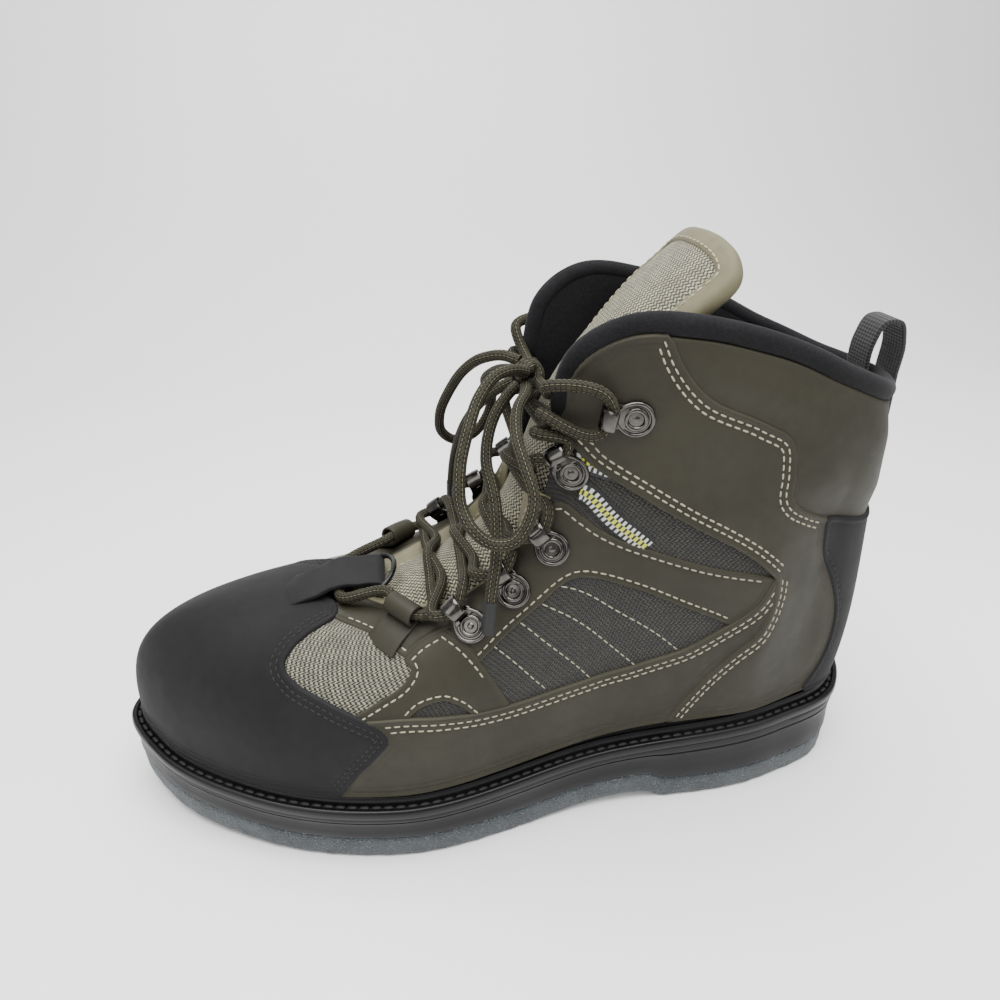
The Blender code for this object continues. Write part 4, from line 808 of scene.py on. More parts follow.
def build_felt():
    mat, tree, place = finish("felt", 0.95, Sheen__Weight=0.2, Sheen__Roughness=0.6)
    pale = grouped(tree, SPECKLE, Place=place.outputs["Object"], Flecks__per__metre=1150.0, Share=0.30)
    dark = grouped(tree, SPECKLE, Place=place.outputs["Object"], Flecks__per__metre=800.0, Share=0.34)
    broad = noise(tree, place.outputs["Object"], 90.0, 5.0)
    fibre = noise(tree, place.outputs["Object"], 1500.0, 4.0)
    tone = blend_colour(tree, stretch(tree, broad, 0.35, 0.65),
                        (0.0170, 0.0235, 0.0275), (0.0330, 0.0430, 0.0490))
    pale_share = maths(tree, "MULTIPLY", pale.outputs["Fleck"], 0.75)
    dark_share = maths(tree, "MULTIPLY", dark.outputs["Fleck"], 0.8)
    tone = blend_colour(tree, pale_share, tone, (0.125, 0.150, 0.160))
    tone = blend_colour(tree, dark_share, tone, (0.004, 0.005, 0.007))
    return wired(mat, tone, maths(tree, "ADD", fibre, pale.outputs["Fleck"]), 0.9, 0.7 * MM)


FELT = build_felt()


def metal(name, colour, roughness, metallic=1.0):
    mat, tree, place = finish(name, roughness, metallic)
    smudge = noise(tree, place.outputs["Object"], 420.0, 4.0)
    dull = tuple(c * 0.72 for c in colour)
    tone = blend_colour(tree, stretch(tree, smudge, 0.35, 0.7), dull, colour)
    varied = stretch(tree, smudge, 0.3, 0.7, roughness - 0.06, roughness + 0.10, False)
    return wired(mat, tone, smudge, 0.05, 0.2 * MM, varied)


GUNMETAL = metal("gunmetal", (0.105, 0.099, 0.092), 0.17)
RING_METAL = metal("black_ring", (0.010, 0.010, 0.011), 0.30, 0.5)


def thread(name, colour, low):
    mat, tree, place = finish(name, 0.7)
    twist = node(tree, "ShaderNodeTexWave", {"bands_direction": "DIAGONAL"}, Vector=place.outputs["Object"],
                 Scale=900.0, Distortion=2.0)
    tone = blend_colour(tree, twist.outputs[0], low, colour)
    return wired(mat, tone, twist.outputs[0], 0.4, 0.1 * MM)


CREAM = thread("cream_thread", (0.40, 0.375, 0.265), (0.22, 0.205, 0.145))
BLACK_THREAD = thread("black_thread", (0.0060, 0.0060, 0.0060), (0.0020, 0.0020, 0.0020))


def build_cord():
    """Round braid on UV: U once round the cord, V in metres along it, with two rows of pale flecks."""
    mat, tree, place = finish("olive_cord", 0.8, Specular__IOR__Level=0.25)
    parts = node(tree, "ShaderNodeSeparateXYZ", {}, _0=place.outputs["UV"])
    around = maths(tree, "MULTIPLY", parts.outputs[0], 8.0)
    along = maths(tree, "MULTIPLY", parts.outputs[1], 620.0)
    one = maths(tree, "PINGPONG", maths(tree, "ADD", around, along), 0.5)
    two = maths(tree, "PINGPONG", maths(tree, "SUBTRACT", around, along), 0.5)
    plait = maths(tree, "MAXIMUM", one, two)
    column = maths(tree, "PINGPONG", maths(tree, "MULTIPLY", parts.outputs[0], 6.0), 0.5)
    stripe = stretch(tree, column, 0.43, 0.48)
    dash = stretch(tree, maths(tree, "PINGPONG", along, 0.5), 0.12, 0.24)
    fleck = maths(tree, "MULTIPLY", stripe, dash)
    groove = stretch(tree, column, 0.24, 0.32)
    groove = maths(tree, "MULTIPLY", groove, maths(tree, "SUBTRACT", 1.0, stripe))
    wander = noise(tree, place.outputs["Object"], 300.0, 3.0)
    body = blend_colour(tree, stretch(tree, plait, 0.2, 0.5),
                        (0.0070, 0.0064, 0.0038), (0.0330, 0.0298, 0.0170))
    body = blend_colour(tree, maths(tree, "MULTIPLY", stretch(tree, wander, 0.4, 0.7), 0.3), body,
                        (0.048, 0.044, 0.027))
    body = blend_colour(tree, maths(tree, "MULTIPLY", groove, 0.9), body, (0.0015, 0.0015, 0.0012))
    tone = blend_colour(tree, maths(tree, "MULTIPLY", fleck, 0.85), body, (0.19, 0.175, 0.100))
    return wired(mat, tone, plait, 0.7, 0.35 * MM)


CORD = build_cord()


def ribbed(name, ground_tone, rib_tone, pitch):
    """Woven webbing on UV in metres, ribs across its length."""
    mat, tree, place = finish(name, 0.8, Sheen__Weight=0.15)
    parts = node(tree, "ShaderNodeSeparateXYZ", {}, _0=place.outputs["UV"])
    rib = maths(tree, "PINGPONG", maths(tree, "MULTIPLY", parts.outputs[1], 1.0 / pitch), 0.5)
    warp = maths(tree, "PINGPONG", maths(tree, "MULTIPLY", parts.outputs[0], 0.8 / pitch), 0.5)
    height = maths(tree, "MULTIPLY_ADD", warp, 0.4, rib)
    tone = blend_colour(tree, stretch(tree, height, 0.1, 0.6), ground_tone, rib_tone)
    return wired(mat, tone, height, 0.8, 0.5 * MM)


WEBBING = ribbed("black_webbing", (0.0020, 0.0020, 0.0020), (0.0100, 0.0100, 0.0105), 1.3 * MM)


def build_tape():
    """Woven tape on UV in metres: pale ribs across it, a yellow middle and black edges."""
    mat, tree, place = finish("ribbed_tape", 0.6)
    parts = node(tree, "ShaderNodeSeparateXYZ", {}, _0=place.outputs["UV"])
    side = maths(tree, "ABSOLUTE", parts.outputs[0])
    ribs_along = maths(tree, "MULTIPLY", parts.outputs[1], 480.0)
    rib = stretch(tree, maths(tree, "PINGPONG", ribs_along, 0.5), 0.20, 0.28)
    shifted_rib = maths(tree, "ADD", ribs_along, 0.5)
    between = stretch(tree, maths(tree, "PINGPONG", shifted_rib, 0.5), 0.16, 0.24)
    middle = stretch(tree, side, 0.9 * MM, 1.2 * MM, 1.0, 0.0)
    border = stretch(tree, side, 2.8 * MM, 3.0 * MM)
    tone = blend_colour(tree, rib, (0.004, 0.004, 0.004), (0.48, 0.48, 0.46))
    inner = blend_colour(tree, between, (0.012, 0.012, 0.008), (0.48, 0.50, 0.030))
    tone = blend_colour(tree, middle, tone, inner)
    tone = blend_colour(tree, border, tone, (0.003, 0.003, 0.003))
    return wired(mat, tone, rib, 0.6, 0.4 * MM)


TAPE = build_tape()
print("finishes:", len(bpy.data.materials))

# %% [markdown]
# ## The sole
# The felt, the rubber wall and the welt follow one outline. Each starts as a circle that is laid on the
# outline, and every next ring is extruded from the last and moved to its own inset and height.

# %% Rings of the sole
SOLE_SIDES = 320
SOLE_U = np.linspace(0.0, 1.0, SOLE_SIDES + 1)[:-1]


def ledge(x):
    return bed(x) - WELT_THICKNESS


def felt_top(x):
    return ground(x) + FELT_THICKNESS


def sole_ring(inset, height, rough=0.0, phase=0.0):
    """Points of one ring in the shared frame; rough adds small uneven waves to the inset."""
    turn = SOLE_U * 2 * math.pi
    wave = 0.5 * np.sin(turn * 61 + phase) + 0.5 * np.sin(turn * 97 + 2.3 * phase)
    plan = outline(SOLE_U, inset)
    run = unit(np.roll(plan, -1, axis=0) - np.roll(plan, 1, axis=0))
    plan = plan + np.stack([run[:, 1], -run[:, 0]], axis=1) * (rough * wave)[:, None]
    return np.c_[plan[:, 0] - HEEL_CENTRE, plan[:, 1], height(plan[:, 0])]


def select_only(obj):
    bpy.ops.object.select_all(action="DESELECT")
    obj.select_set(True)
    bpy.context.view_layer.objects.active = obj


def dress(obj, mat, node_name=None):
    """Material, body, slot and the solid that the piece stands for."""
    obj.data.materials.clear()
    obj.data.materials.append(mat)
    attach(obj, "root")
    if node_name:
        for one in node_name if isinstance(node_name, (list, tuple)) else [node_name]:
            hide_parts(one)
    return obj


def sole_layer(name, rings, closed=False):
    """A circle laid on the first ring, then extruded ring by ring and capped or closed."""
    bpy.ops.object.select_all(action="DESELECT")
    bpy.ops.mesh.primitive_circle_add(vertices=SOLE_SIDES, radius=1.0, fill_type="NOTHING",
                                      location=(0, 0, 0))
    obj = bpy.context.active_object
    obj.name = name
    mesh = obj.data
    for k, point in enumerate(rings[0]):
        mesh.vertices[k].co = point
    last = rings[0]
    for ring in rings[1:]:
        before = len(mesh.vertices)
        bpy.ops.object.mode_set(mode="EDIT")
        bpy.ops.mesh.select_all(action="DESELECT")
        bpy.ops.object.mode_set(mode="OBJECT")
        for k in range(before - SOLE_SIDES, before):
            mesh.vertices[k].select = True
        for edge in mesh.edges:
            edge.select = min(edge.vertices) >= before - SOLE_SIDES
        bpy.ops.object.mode_set(mode="EDIT")
        bpy.ops.mesh.extrude_edges_move()
        bpy.ops.object.mode_set(mode="OBJECT")
        mesh = obj.data
        tree = KDTree(SOLE_SIDES)
        for k, point in enumerate(last):
            tree.insert(point, k)
        tree.balance()
        for k in range(before, before + SOLE_SIDES):
            mesh.vertices[k].co = ring[tree.find(mesh.vertices[k].co)[1]]
        last = ring
    bpy.ops.object.mode_set(mode="EDIT")
    bpy.ops.mesh.select_mode(type="EDGE")
    bpy.ops.mesh.select_all(action="DESELECT")
    bpy.ops.mesh.select_non_manifold()
    if closed:
        bpy.ops.mesh.bridge_edge_loops()
    else:
        bpy.ops.mesh.fill_holes(sides=0)
    bpy.ops.mesh.select_mode(type="VERT")
    bpy.ops.mesh.select_all(action="SELECT")
    bpy.ops.mesh.normals_make_consistent(inside=False)
    bpy.ops.mesh.faces_shade_smooth()
    bpy.ops.object.mode_set(mode="OBJECT")
    obj.data.set_sharp_from_angle(angle=math.radians(42))
    return obj


def between_heights(share):
    return lambda x: (felt_top(x) + 0.2 * MM) * (1 - share) + ledge(x) * share


# %% [markdown]
# From the floor up: felt, the rubber wall, the welt with its groove, and the footbed inside.

# %% Felt outsole
# Inset, height over the ground and unevenness, in mm
felt_rows = [(3.2, 0.0, 0.0), (2.2, 0.25, 0.12), (1.5, 1.1, 0.16), (1.3, 3.0, 0.14), (1.25, 5.5, 0.16),
             (1.3, 8.0, 0.14), (1.5, 10.1, 0.12), (2.0, 10.8, 0.0)]
felt = sole_layer("felt_outsole", [
    sole_ring(inset * MM, lambda x, up=up: ground(x) + up * MM, rough * MM, up)
    for inset, up, rough in felt_rows])
dress(felt, FELT, "outsole_felt")
print("felt:", len(felt.data.vertices), "vertices")

# %% Rubber wall
# Inset in mm and share of the way from the felt to the welt
wall_rows = [(2.4, 0.0), (1.0, 0.03), (0.75, 0.10), (0.95, 0.30), (1.15, 0.55), (0.95, 0.70), (0.85, 0.735),
             (1.5, 0.755), (1.5, 0.775), (0.7, 0.795), (0.45, 0.90), (0.6, 0.97), (1.3, 1.0)]
wall_rings = [sole_ring(inset * MM, between_heights(share)) for inset, share in wall_rows]
wall_rings += [sole_ring(WELT_PROJECTION - 0.5 * MM, height) for height in (ledge, bed)]
wall = sole_layer("rubber_wall", wall_rings)
dress(wall, RUBBER, "midsole")

# %% Welt with its groove and bead
# Inset and height over the bed, in mm; None is the foot of the welt
welt_rows = [(0.9, None), (0.05, -4.1), (-0.15, -2.6), (0.0, -1.2), (0.45, -0.45), (1.1, -0.2), (1.9, -0.3),
             (2.3, -0.9), (2.8, -1.35), (3.5, -1.3), (3.9, -0.7), (4.1, 0.4), (4.5, 1.9), (5.0, 2.5),
             (5.6, 2.5), (6.0, 1.9), (6.2, 0.0), (6.2, None)]
welt = sole_layer("stitched_welt", [
    sole_ring(inset * MM, (lambda x: ledge(x) + GAP) if up is None else (lambda x, up=up: bed(x) + up * MM))
    for inset, up in welt_rows], closed=True)
dress(welt, WELT_RUBBER, "welt")

# %% Footbed
# Inset, and height over the bed in mm
bed_rows = [(WELT_PROJECTION + UPPER_WALL + 0.5 * MM, 0.3), (WELT_PROJECTION + UPPER_WALL + 0.3 * MM, 2.6),
            (WELT_PROJECTION + UPPER_WALL + 0.8 * MM, 3.9), (WELT_PROJECTION + UPPER_WALL + 2.6 * MM, 4.4)]
footbed = sole_layer("footbed", [
    sole_ring(inset, lambda x, up=up: bed(x) + up * MM) for inset, up in bed_rows])
dress(footbed, LINING, "insole")
print("sole layers done")

# %% [markdown]
# ## The lined shell
# The shell carries everything else. It is a grid of the last's surface given its wall with Solidify.

# %% Meshes from numbers
def from_grid(name, grid, closed=False, uv=None):
    """A quad grid as an object; closed joins the last row to the first."""
    grid = np.asarray(grid, float)
    rows, cols = grid.shape[:2]
    faces = []
    for i in range(rows if closed else rows - 1):
        k = (i + 1) % rows
        for j in range(cols - 1):
            faces.append((i * cols + j, k * cols + j, k * cols + j + 1, i * cols + j + 1))
    return from_faces(name, grid.reshape(-1, 3), faces, uv=uv)


def from_faces(name, points, faces, uv=None, edge=None):
    mesh = bpy.data.meshes.new(name)
    mesh.from_pydata([tuple(p) for p in points], [], [tuple(int(i) for i in f) for f in faces])
    if uv is not None:
        layer = mesh.uv_layers.new(name="UVMap")
        corners = np.zeros(len(mesh.loops), int)
        mesh.loops.foreach_get("vertex_index", corners)
        layer.data.foreach_set("uv", np.asarray(uv, float)[corners].ravel())
    if edge is not None:
        mark = mesh.attributes.new("edge", "FLOAT", "POINT")
        mark.data.foreach_set("value", np.asarray(edge, float))
    mesh.shade_smooth()
    obj = bpy.data.objects.new(name, mesh)
    bpy.context.scene.collection.objects.link(obj)
    return obj


def apply_all(obj):
    select_only(obj)
    for modifier in list(obj.modifiers):
        bpy.ops.object.modifier_apply(modifier=modifier.name)
    return obj


def thicken(obj, thickness, offset=0.0):
    wall = obj.modifiers.new("wall", "SOLIDIFY")
    wall.thickness = thickness
    wall.offset = offset


def round_edges(obj, width, segments=2):
    edge = obj.modifiers.new("round", "BEVEL")
    edge.width = width
    edge.segments = segments
    edge.limit_method = "ANGLE"


def make_consistent(obj):
    """Faces turned to the outside."""
    select_only(obj)
    bpy.ops.object.mode_set(mode="EDIT")
    bpy.ops.mesh.select_all(action="SELECT")
    bpy.ops.mesh.normals_make_consistent(inside=False)
    bpy.ops.object.mode_set(mode="OBJECT")
    return obj


# %% [markdown]
# The shell's wall is given to the inside, so its outer face stays on the last.

# %% Lined shell
shell_u = np.linspace(0.0, 1.0, 261)[:-1]
shell_v = np.linspace(0.0, 1.0, 49)
shell_places = np.stack(np.meshgrid(shell_u, shell_v, indexing="ij"), axis=-1)
shell = from_grid("lined_shell", on_skin(shell_places), closed=True)
toward = shell.data.polygons[40 * 48 + 20]
if Vector(toward.normal).dot(Vector(look(NORMAL, np.array([shell_u[40], shell_v[20]])))) < 0:
    shell.data.flip_normals()
thicken(shell, UPPER_WALL, -1.0)
apply_all(shell)
shell.data.shade_smooth()
dress(shell, LINING, "upper_shell")
print("lined shell:", len(shell.data.polygons), "faces")

# %% [markdown]
# ## Cutting panels
# Every overlay is cut along its seams in the flat pattern, filled with an even net of points, and laid over
# the last. Its height over the shell depends on the distance to the cut edge, so the edge rolls over, the
# folded hem stands up and the seams sink under their stitches.

# %% Panel maker
def rim_distance(points, rim):
    """Distance of each point to a closed rim, sampled finely."""
    dense = []
    for a, b in zip(rim, np.roll(rim, -1, axis=0)):
        steps = max(1, int(np.linalg.norm(b - a) / (0.5 * MM)))
        for k in range(steps):
            dense.append(a + (b - a) * k / steps)
    tree = KDTree(len(dense))
    for k, point in enumerate(dense):
        tree.insert(point, k)
    tree.balance()
    return np.array([tree.find(point)[2] for point in points])


def cut_panel(name, lines, low, high, grow=0.0, roll=0.8 * MM, hem=0.0, dips=(), dip=0.25 * MM,
              puff=0.0, reach=10 * MM, spacing=2.8 * MM):
    """A panel cut along its seams: low and high are its under and upper heights over the shell."""
    loop = joined(lines)
    if grow:
        loop = shifted(loop, -grow)
    rim = on_skin(loop)
    steps = [0.25 * roll, 0.6 * roll, 1.1 * roll]
    if hem:
        steps += [1.3 * MM, 1.9 * MM, 2.5 * MM]
    for at in dips:
        steps += [at - 0.55 * MM, at, at + 0.55 * MM]
    steps = sorted(set(round(s, 6) for s in steps))
    steps.append(steps[-1] + 1.5 * MM)
    rings = [shifted(loop, by) for by in steps]
    grid_u = np.arange(loop[:, 0].min(), loop[:, 0].max(), spacing / PATTERN[0])
    grid_v = np.arange(max(loop[:, 1].min(), 0.0), loop[:, 1].max(), spacing * 0.87 / PATTERN[1])
    net = np.stack(np.meshgrid(grid_u, grid_v, indexing="ij"), axis=-1)
    net[:, 1::2, 0] += spacing / PATTERN[0] / 2
    net = net.reshape(-1, 2)
    candidates = np.concatenate(rings + [net])
    least = np.concatenate([np.full(len(loop), by * 0.85) for by in steps]
                           + [np.full(len(net), steps[-1] + 0.5 * spacing)])
    within = inside(candidates * PATTERN, loop * PATTERN)
    candidates = candidates[within]
    least = least[within]
    away = rim_distance(on_skin(candidates), rim)
    candidates = candidates[away >= least]
    places = np.concatenate([loop, candidates])
    flat = [Vector(p) for p in places * PATTERN]
    edges = [(k, (k + 1) % len(loop)) for k in range(len(loop))]
    cut = delaunay_2d_cdt(flat, edges, [], 0, 1e-7)
    spots = np.array([tuple(p) for p in cut[0]])
    triangles = np.array(cut[2])
    triangles = triangles[inside(spots[triangles].mean(axis=1), loop * PATTERN)]
    used = np.unique(triangles)
    index = -np.ones(len(spots), int)
    index[used] = np.arange(len(used))
    triangles = index[triangles]
    places = spots[used] / PATTERN
    away = rim_distance(on_skin(places), rim)
    bound = np.minimum(away, roll)
    lift = high - roll + np.sqrt(np.maximum(roll ** 2 - (roll - bound) ** 2, 0.0))
    lift += hem * np.exp(-((away - 1.1 * MM) / (0.75 * MM)) ** 2)
    for at in dips:
        lift -= dip * np.exp(-((away - at) / (0.5 * MM)) ** 2)
    lift += puff * smoothstep(away / reach)
    top = on_skin(places, lift)
    directed = {(a, b) for t in triangles for a, b in ((t[0], t[1]), (t[1], t[2]), (t[2], t[0]))}
    rim_edges = [(a, b) for a, b in directed if (b, a) not in directed]
    rim_points = sorted({a for pair in rim_edges for a in pair})
    under = {a: len(top) + k for k, a in enumerate(rim_points)}
    foot = on_skin(places[rim_points], low)
    points = np.concatenate([top, foot])
    faces = [tuple(t) for t in triangles] + [(b, a, under[a], under[b]) for a, b in rim_edges]
    middle = places.mean(axis=0)
    stretch_u = np.linalg.norm(on_skin(middle + [0.004, 0]) - on_skin(middle - [0.004, 0])) / 0.008
    stretch_v = np.linalg.norm(on_skin(middle + [0, 0.02]) - on_skin(middle - [0, 0.02])) / 0.04
    every = np.concatenate([places, places[rim_points]])
    # The edge attribute marks where the finishes paint a highlight along the rolled cut edge.
    edge = np.r_[np.exp(-(away / (0.6 * MM)) ** 2), np.ones(len(rim_points))]
    obj = from_faces(name, points, faces, uv=every * [stretch_u, stretch_v], edge=edge)
    face = obj.data.polygons[len(triangles) // 2]
    if Vector(face.normal).dot(Vector(facing(places[triangles[len(triangles) // 2]].mean(axis=0)))) < 0:
        obj.data.flip_normals()
    return obj


def across(share, up, side):
    """One place on the middle of the throat's side."""
    return np.array([(on_side(share, side), up)])


def polygon(side, *corners):
    """A loop through given corners: share round the side, share up."""
    line = np.array([(on_side(share, side), up) for share, up in corners])
    full = np.r_[line, line[:1]]
    out = []
    for a, b in zip(full, full[1:]):
        steps = max(1, int(np.linalg.norm((b - a) * PATTERN) / (2 * MM)))
        out += [a + (b - a) * k / steps for k in range(steps)]
    return np.array(out)


# %% [markdown]
# The windows are cut first. Each reaches a little under the overlays around it.

# %% Mesh windows
SIDES = (("outer", 1, "_out"), ("inner", -1, "_in"))
VAMP = [(0.63, 0.33), (0.72, 0.40), (0.80, 0.52), (0.85, 0.66), (0.87, 0.86), (0.80, 0.95), (0.70, 0.88),
        (0.62, 0.72), (0.60, 0.52)]
SMALL = [(0.52, 0.22), (0.65, 0.30), (0.64, 0.46), (0.56, 0.48), (0.53, 0.34)]
QUARTER = [(0.24, 0.26), (0.36, 0.17), (0.50, 0.20), (0.58, 0.40), (0.60, 0.60), (0.52, 0.66), (0.40, 0.62),
           (0.28, 0.42)]
ANKLE = [(0.215, 0.44), (0.33, 0.47), (0.43, 0.66), (0.50, 0.84), (0.512, 0.992), (0.436, 0.992),
         (0.39, 0.86), (0.30, 0.66), (0.21, 0.55)]
# Name, corners (share round the side, share up), finish, height, swell and how far in the swell rises
WINDOWS = [
    ("vamp_mesh_", VAMP, LIGHT_MESH, 0.75 * MM, 0.3 * MM, 10 * MM),
    ("small_window_mesh_", SMALL, DARK_MESH, 0.8 * MM, 0.0, 10 * MM),
    ("quarter_mesh_", QUARTER, DARK_MESH, 0.6 * MM, 0.2 * MM, 14 * MM),
    ("ankle_mesh_", ANKLE, DARK_MESH, 0.65 * MM, 0.0, 10 * MM),
]
for word, side, tag in SIDES:
    for name, corners, mat, top, swell, reach in WINDOWS:
        window = cut_panel(name + word, [polygon(side, *corners)], 0.0, top,
                           roll=0.4 * MM, puff=swell, reach=reach)
        dress(window, mat)
print("mesh windows:", len(WINDOWS), "on each side")

# %% [markdown]
# The overlays are laid over them in this order: saddle, strap, band and shaft, then cap, collar pad and
# backstay. DOUBLE gives the distances of a double stitch line from the cut edge, SINGLE that of a single one.

# %% Overlays
SADDLE_TOP = 1.35 * MM
STRAP_TOP = 1.55 * MM
BAND_TOP = 1.95 * MM
SHAFT_TOP = 2.35 * MM
CAP_TOP = 2.3 * MM
SINGLE = (2.6 * MM,)
DOUBLE = (2.9 * MM, 5.1 * MM)
UPTURN = 0.45 * MM


def overlay(name, lines, low, high, replaced, mat=OLIVE, slot="olive_synthetic", **edges):
    """A panel cut, dressed and set in the place of its solid."""
    return dress(cut_panel(name, lines, low, high, **edges), mat, replaced)


for word, side, tag in SIDES:
    saddle = overlay("saddle_" + word, [
        seam("ankle low", side),
        seam("band top", side, "saddle foot", "meeting point", backward=True),
        seam("saddle low", side),
        seam("strap back", side, "top", "saddle", backward=True),
        seam("strap top", side, backward=True),
        seam("arm", side),
        seam("cap edge", side, "neck", "tab end"),
        across(0.905, 0.992, side),
    ], 0.2 * MM, SADDLE_TOP, "saddle" + tag, hem=0.25 * MM, dips=SINGLE)
    strap = overlay("strap_" + word, [
        seam("strap front", side),
        seam("strap top", side),
        seam("strap back", side),
        seam("band top", side, "ball", "strap foot", backward=True),
        seam("small window", side),
        seam("band top", side, "cap", "front", backward=True),
    ], 0.3 * MM, STRAP_TOP, "strap" + tag, grow=0.9 * MM, dips=SINGLE)
    band = overlay("band_" + word, [
        seam("band top", side),
        seam("counter seam", side),
        seam("cap edge", side, "welt", "band end"),
    ], 0.4 * MM, BAND_TOP, "band" + tag, grow=1.0 * MM, hem=UPTURN, dips=DOUBLE)
    shaft = overlay("shaft_" + word, [
        seam("ankle high", side),
        seam("counter seam", side),
        seam("backstay edge", side, backward=True),
        seam("collar seam", side, backward=True),
    ], 0.4 * MM, SHAFT_TOP, "shaft" + tag, grow=1.0 * MM, hem=UPTURN, dips=DOUBLE)
cap = overlay("toe_cap_panel", [seam("cap edge", 1), seam("cap edge", -1, backward=True)],
              0.4 * MM, CAP_TOP, "toe_cap", NUBUCK, "black_nubuck", grow=1.0 * MM, hem=0.3 * MM, dips=DOUBLE)
pad = overlay("collar_pad_panel", [
    seam("collar seam", 1, heel=True),
    seam("collar seam", -1, backward=True, heel=True),
], 0.2 * MM, 1.7 * MM, "collar_pad", puff=2.4 * MM, reach=16 * MM)
stay = overlay("backstay_panel", [
    seam("backstay edge", 1, heel=True),
    seam("backstay edge", -1, backward=True, heel=True),
], 0.4 * MM, 2.9 * MM, "backstay", NUBUCK, "black_nubuck", grow=1.2 * MM, hem=0.3 * MM, dips=SINGLE)
one_side = (saddle, strap, band, shaft, cap, pad, stay)
print("overlays:", sum(len(panel.data.polygons) for panel in one_side), "faces on one side")

# %% [markdown]
# ## Stitching
# A stitch is a small grain of thread. Rows of them follow the seams at a true distance from the edge.

# %% Stitch rows
STITCH_ENDS = [(-1.0, 0.35), (-0.72, 0.9), (0.0, 1.0), (0.72, 0.9), (1.0, 0.35)]
STITCH_SIDES = 6


def row_of(points, normals, length, pitch, thick, first, spare):
    """Centres, directions and normals of the stitches along a line of points."""
    run = distances(points)
    at = np.arange(first, run[-1] - spare, pitch)
    ahead = read_along(points, run, at + length / 2) - read_along(points, run, at - length / 2)
    return read_along(points, run, at), ahead, read_along(normals, run, at), length, thick


def stitch_row(line, lift, length=2.3 * MM, pitch=3.3 * MM, thick=0.31 * MM, phase=0.5):
    """A row of stitches along an open line of places in the pattern."""
    return row_of(on_skin(line, lift), facing(line), length, pitch, thick, pitch * phase, pitch * 0.3)


def stitch_object(name, rows, mat):
    points, faces = [], []
    for centres, ahead, normals, length, thick in rows:
        for centre, t, n in zip(centres, ahead, normals):
            t = t / np.linalg.norm(t)
            n = n - t * np.dot(n, t)
            n = n / np.linalg.norm(n)
            b = np.cross(n, t)
            base = len(points)
            for along, size in STITCH_ENDS:
                for k in range(STITCH_SIDES):
                    a = 2 * math.pi * k / STITCH_SIDES
                    points.append(centre + t * along * length / 2
                                  + (b * math.cos(a) * 1.15 + n * math.sin(a) * 0.8) * thick * size
                                  - n * 0.25 * thick * along * along)
            for r in range(len(STITCH_ENDS) - 1):
                for k in range(STITCH_SIDES):
                    j = (k + 1) % STITCH_SIDES
                    faces.append((base + r * STITCH_SIDES + k, base + r * STITCH_SIDES + j,
                                  base + (r + 1) * STITCH_SIDES + j, base + (r + 1) * STITCH_SIDES + k))
    obj = from_faces(name, points, faces)
    return dress(obj, mat)


def along_seam(name, side, offsets, top, heel=False, last=None, trim=(0, 0), grown=1.0 * MM, **more):
    """Rows beside a seam; a positive offset lies towards the panel on the seam's toe or lower side."""
    line = seam(name, side, last=last, heel=heel, spacing=1.2 * MM)
    line = line[trim[0]:len(line) - trim[1]]
    rows = []
    for k, offset in enumerate(offsets):
        by = (abs(offset) - grown) * (1 if offset > 0 else -1)
        rows.append(stitch_row(shifted(line, by * side, closed=False), top, phase=0.4 + 0.5 * k, **more))
    return rows


cream_rows, black_rows = [], []
low_lift = 0.10 * MM
for word, side, tag in SIDES:
    cream_rows += along_seam("band top", side, DOUBLE, BAND_TOP - low_lift, trim=(6, 3))
    cream_rows += along_seam("counter seam", side, [-d for d in DOUBLE], SHAFT_TOP - low_lift, trim=(1, 2))
    cream_rows += along_seam("ankle high", side, [-d for d in DOUBLE], SHAFT_TOP - low_lift, trim=(3, 1))
    cream_rows += along_seam("ankle low", side, SINGLE, SADDLE_TOP - low_lift, trim=(12, 3), grown=0)
    cream_rows += along_seam("saddle low", side, SINGLE, SADDLE_TOP - low_lift, trim=(2, 1), grown=0)
    cream_rows += along_seam("arm", side, SINGLE, SADDLE_TOP - low_lift, trim=(2, 5), grown=0)
    for part in ("strap front", "strap top", "strap back"):
        last = "lower" if part == "strap back" else None
        cream_rows += along_seam(part, side, SINGLE, STRAP_TOP - low_lift, trim=(1, 1),
                                 grown=0.9 * MM, last=last)
    cream_rows += along_seam("small window", side, (2.2 * MM,), STRAP_TOP - low_lift, grown=0.9 * MM)
    cream_rows += along_seam("collar seam", side, DOUBLE, SHAFT_TOP - low_lift, trim=(0, 3))
    black_rows += along_seam("cap edge", side, [-d for d in DOUBLE], CAP_TOP - low_lift, trim=(2, 2),
                             length=1.9 * MM, pitch=2.7 * MM)
    black_rows += along_seam("backstay edge", side, (-2.6 * MM,), 2.8 * MM, heel=True, trim=(2, 2),
                             grown=1.2 * MM)
    for start, stop in (((0.545, 0.579), (0.463, 0.250)), ((0.515, 0.600), (0.413, 0.205)),
                        ((0.488, 0.605), (0.363, 0.200)), ((0.460, 0.595), (0.320, 0.235))):
        ends = np.array([start, stop])
        line = np.stack([np.linspace(ends[0, k], ends[1, k], 40) for k in (0, 1)], axis=1)
        line[:, 0] = on_side(line[:, 0], side)
        cream_rows.append(stitch_row(line, 0.85 * MM, length=2.4 * MM, pitch=3.4 * MM, thick=0.24 * MM))
welt_line = sole_ring(3.2 * MM, lambda x: bed(x) - 0.85 * MM)
welt_line = np.r_[welt_line, welt_line[:1]]
welt_run = distances(welt_line)
welt_at = np.arange(2 * MM, welt_run[-1] - 2 * MM, 4.6 * MM)
welt_ahead = read_along(welt_line, welt_run, welt_at + 1.8 * MM)
welt_ahead -= read_along(welt_line, welt_run, welt_at - 1.8 * MM)
welt_stitches = (read_along(welt_line, welt_run, welt_at), welt_ahead,
                 np.tile([0.0, 0.0, 1.0], (len(welt_at), 1)), 3.6 * MM, 0.75 * MM)
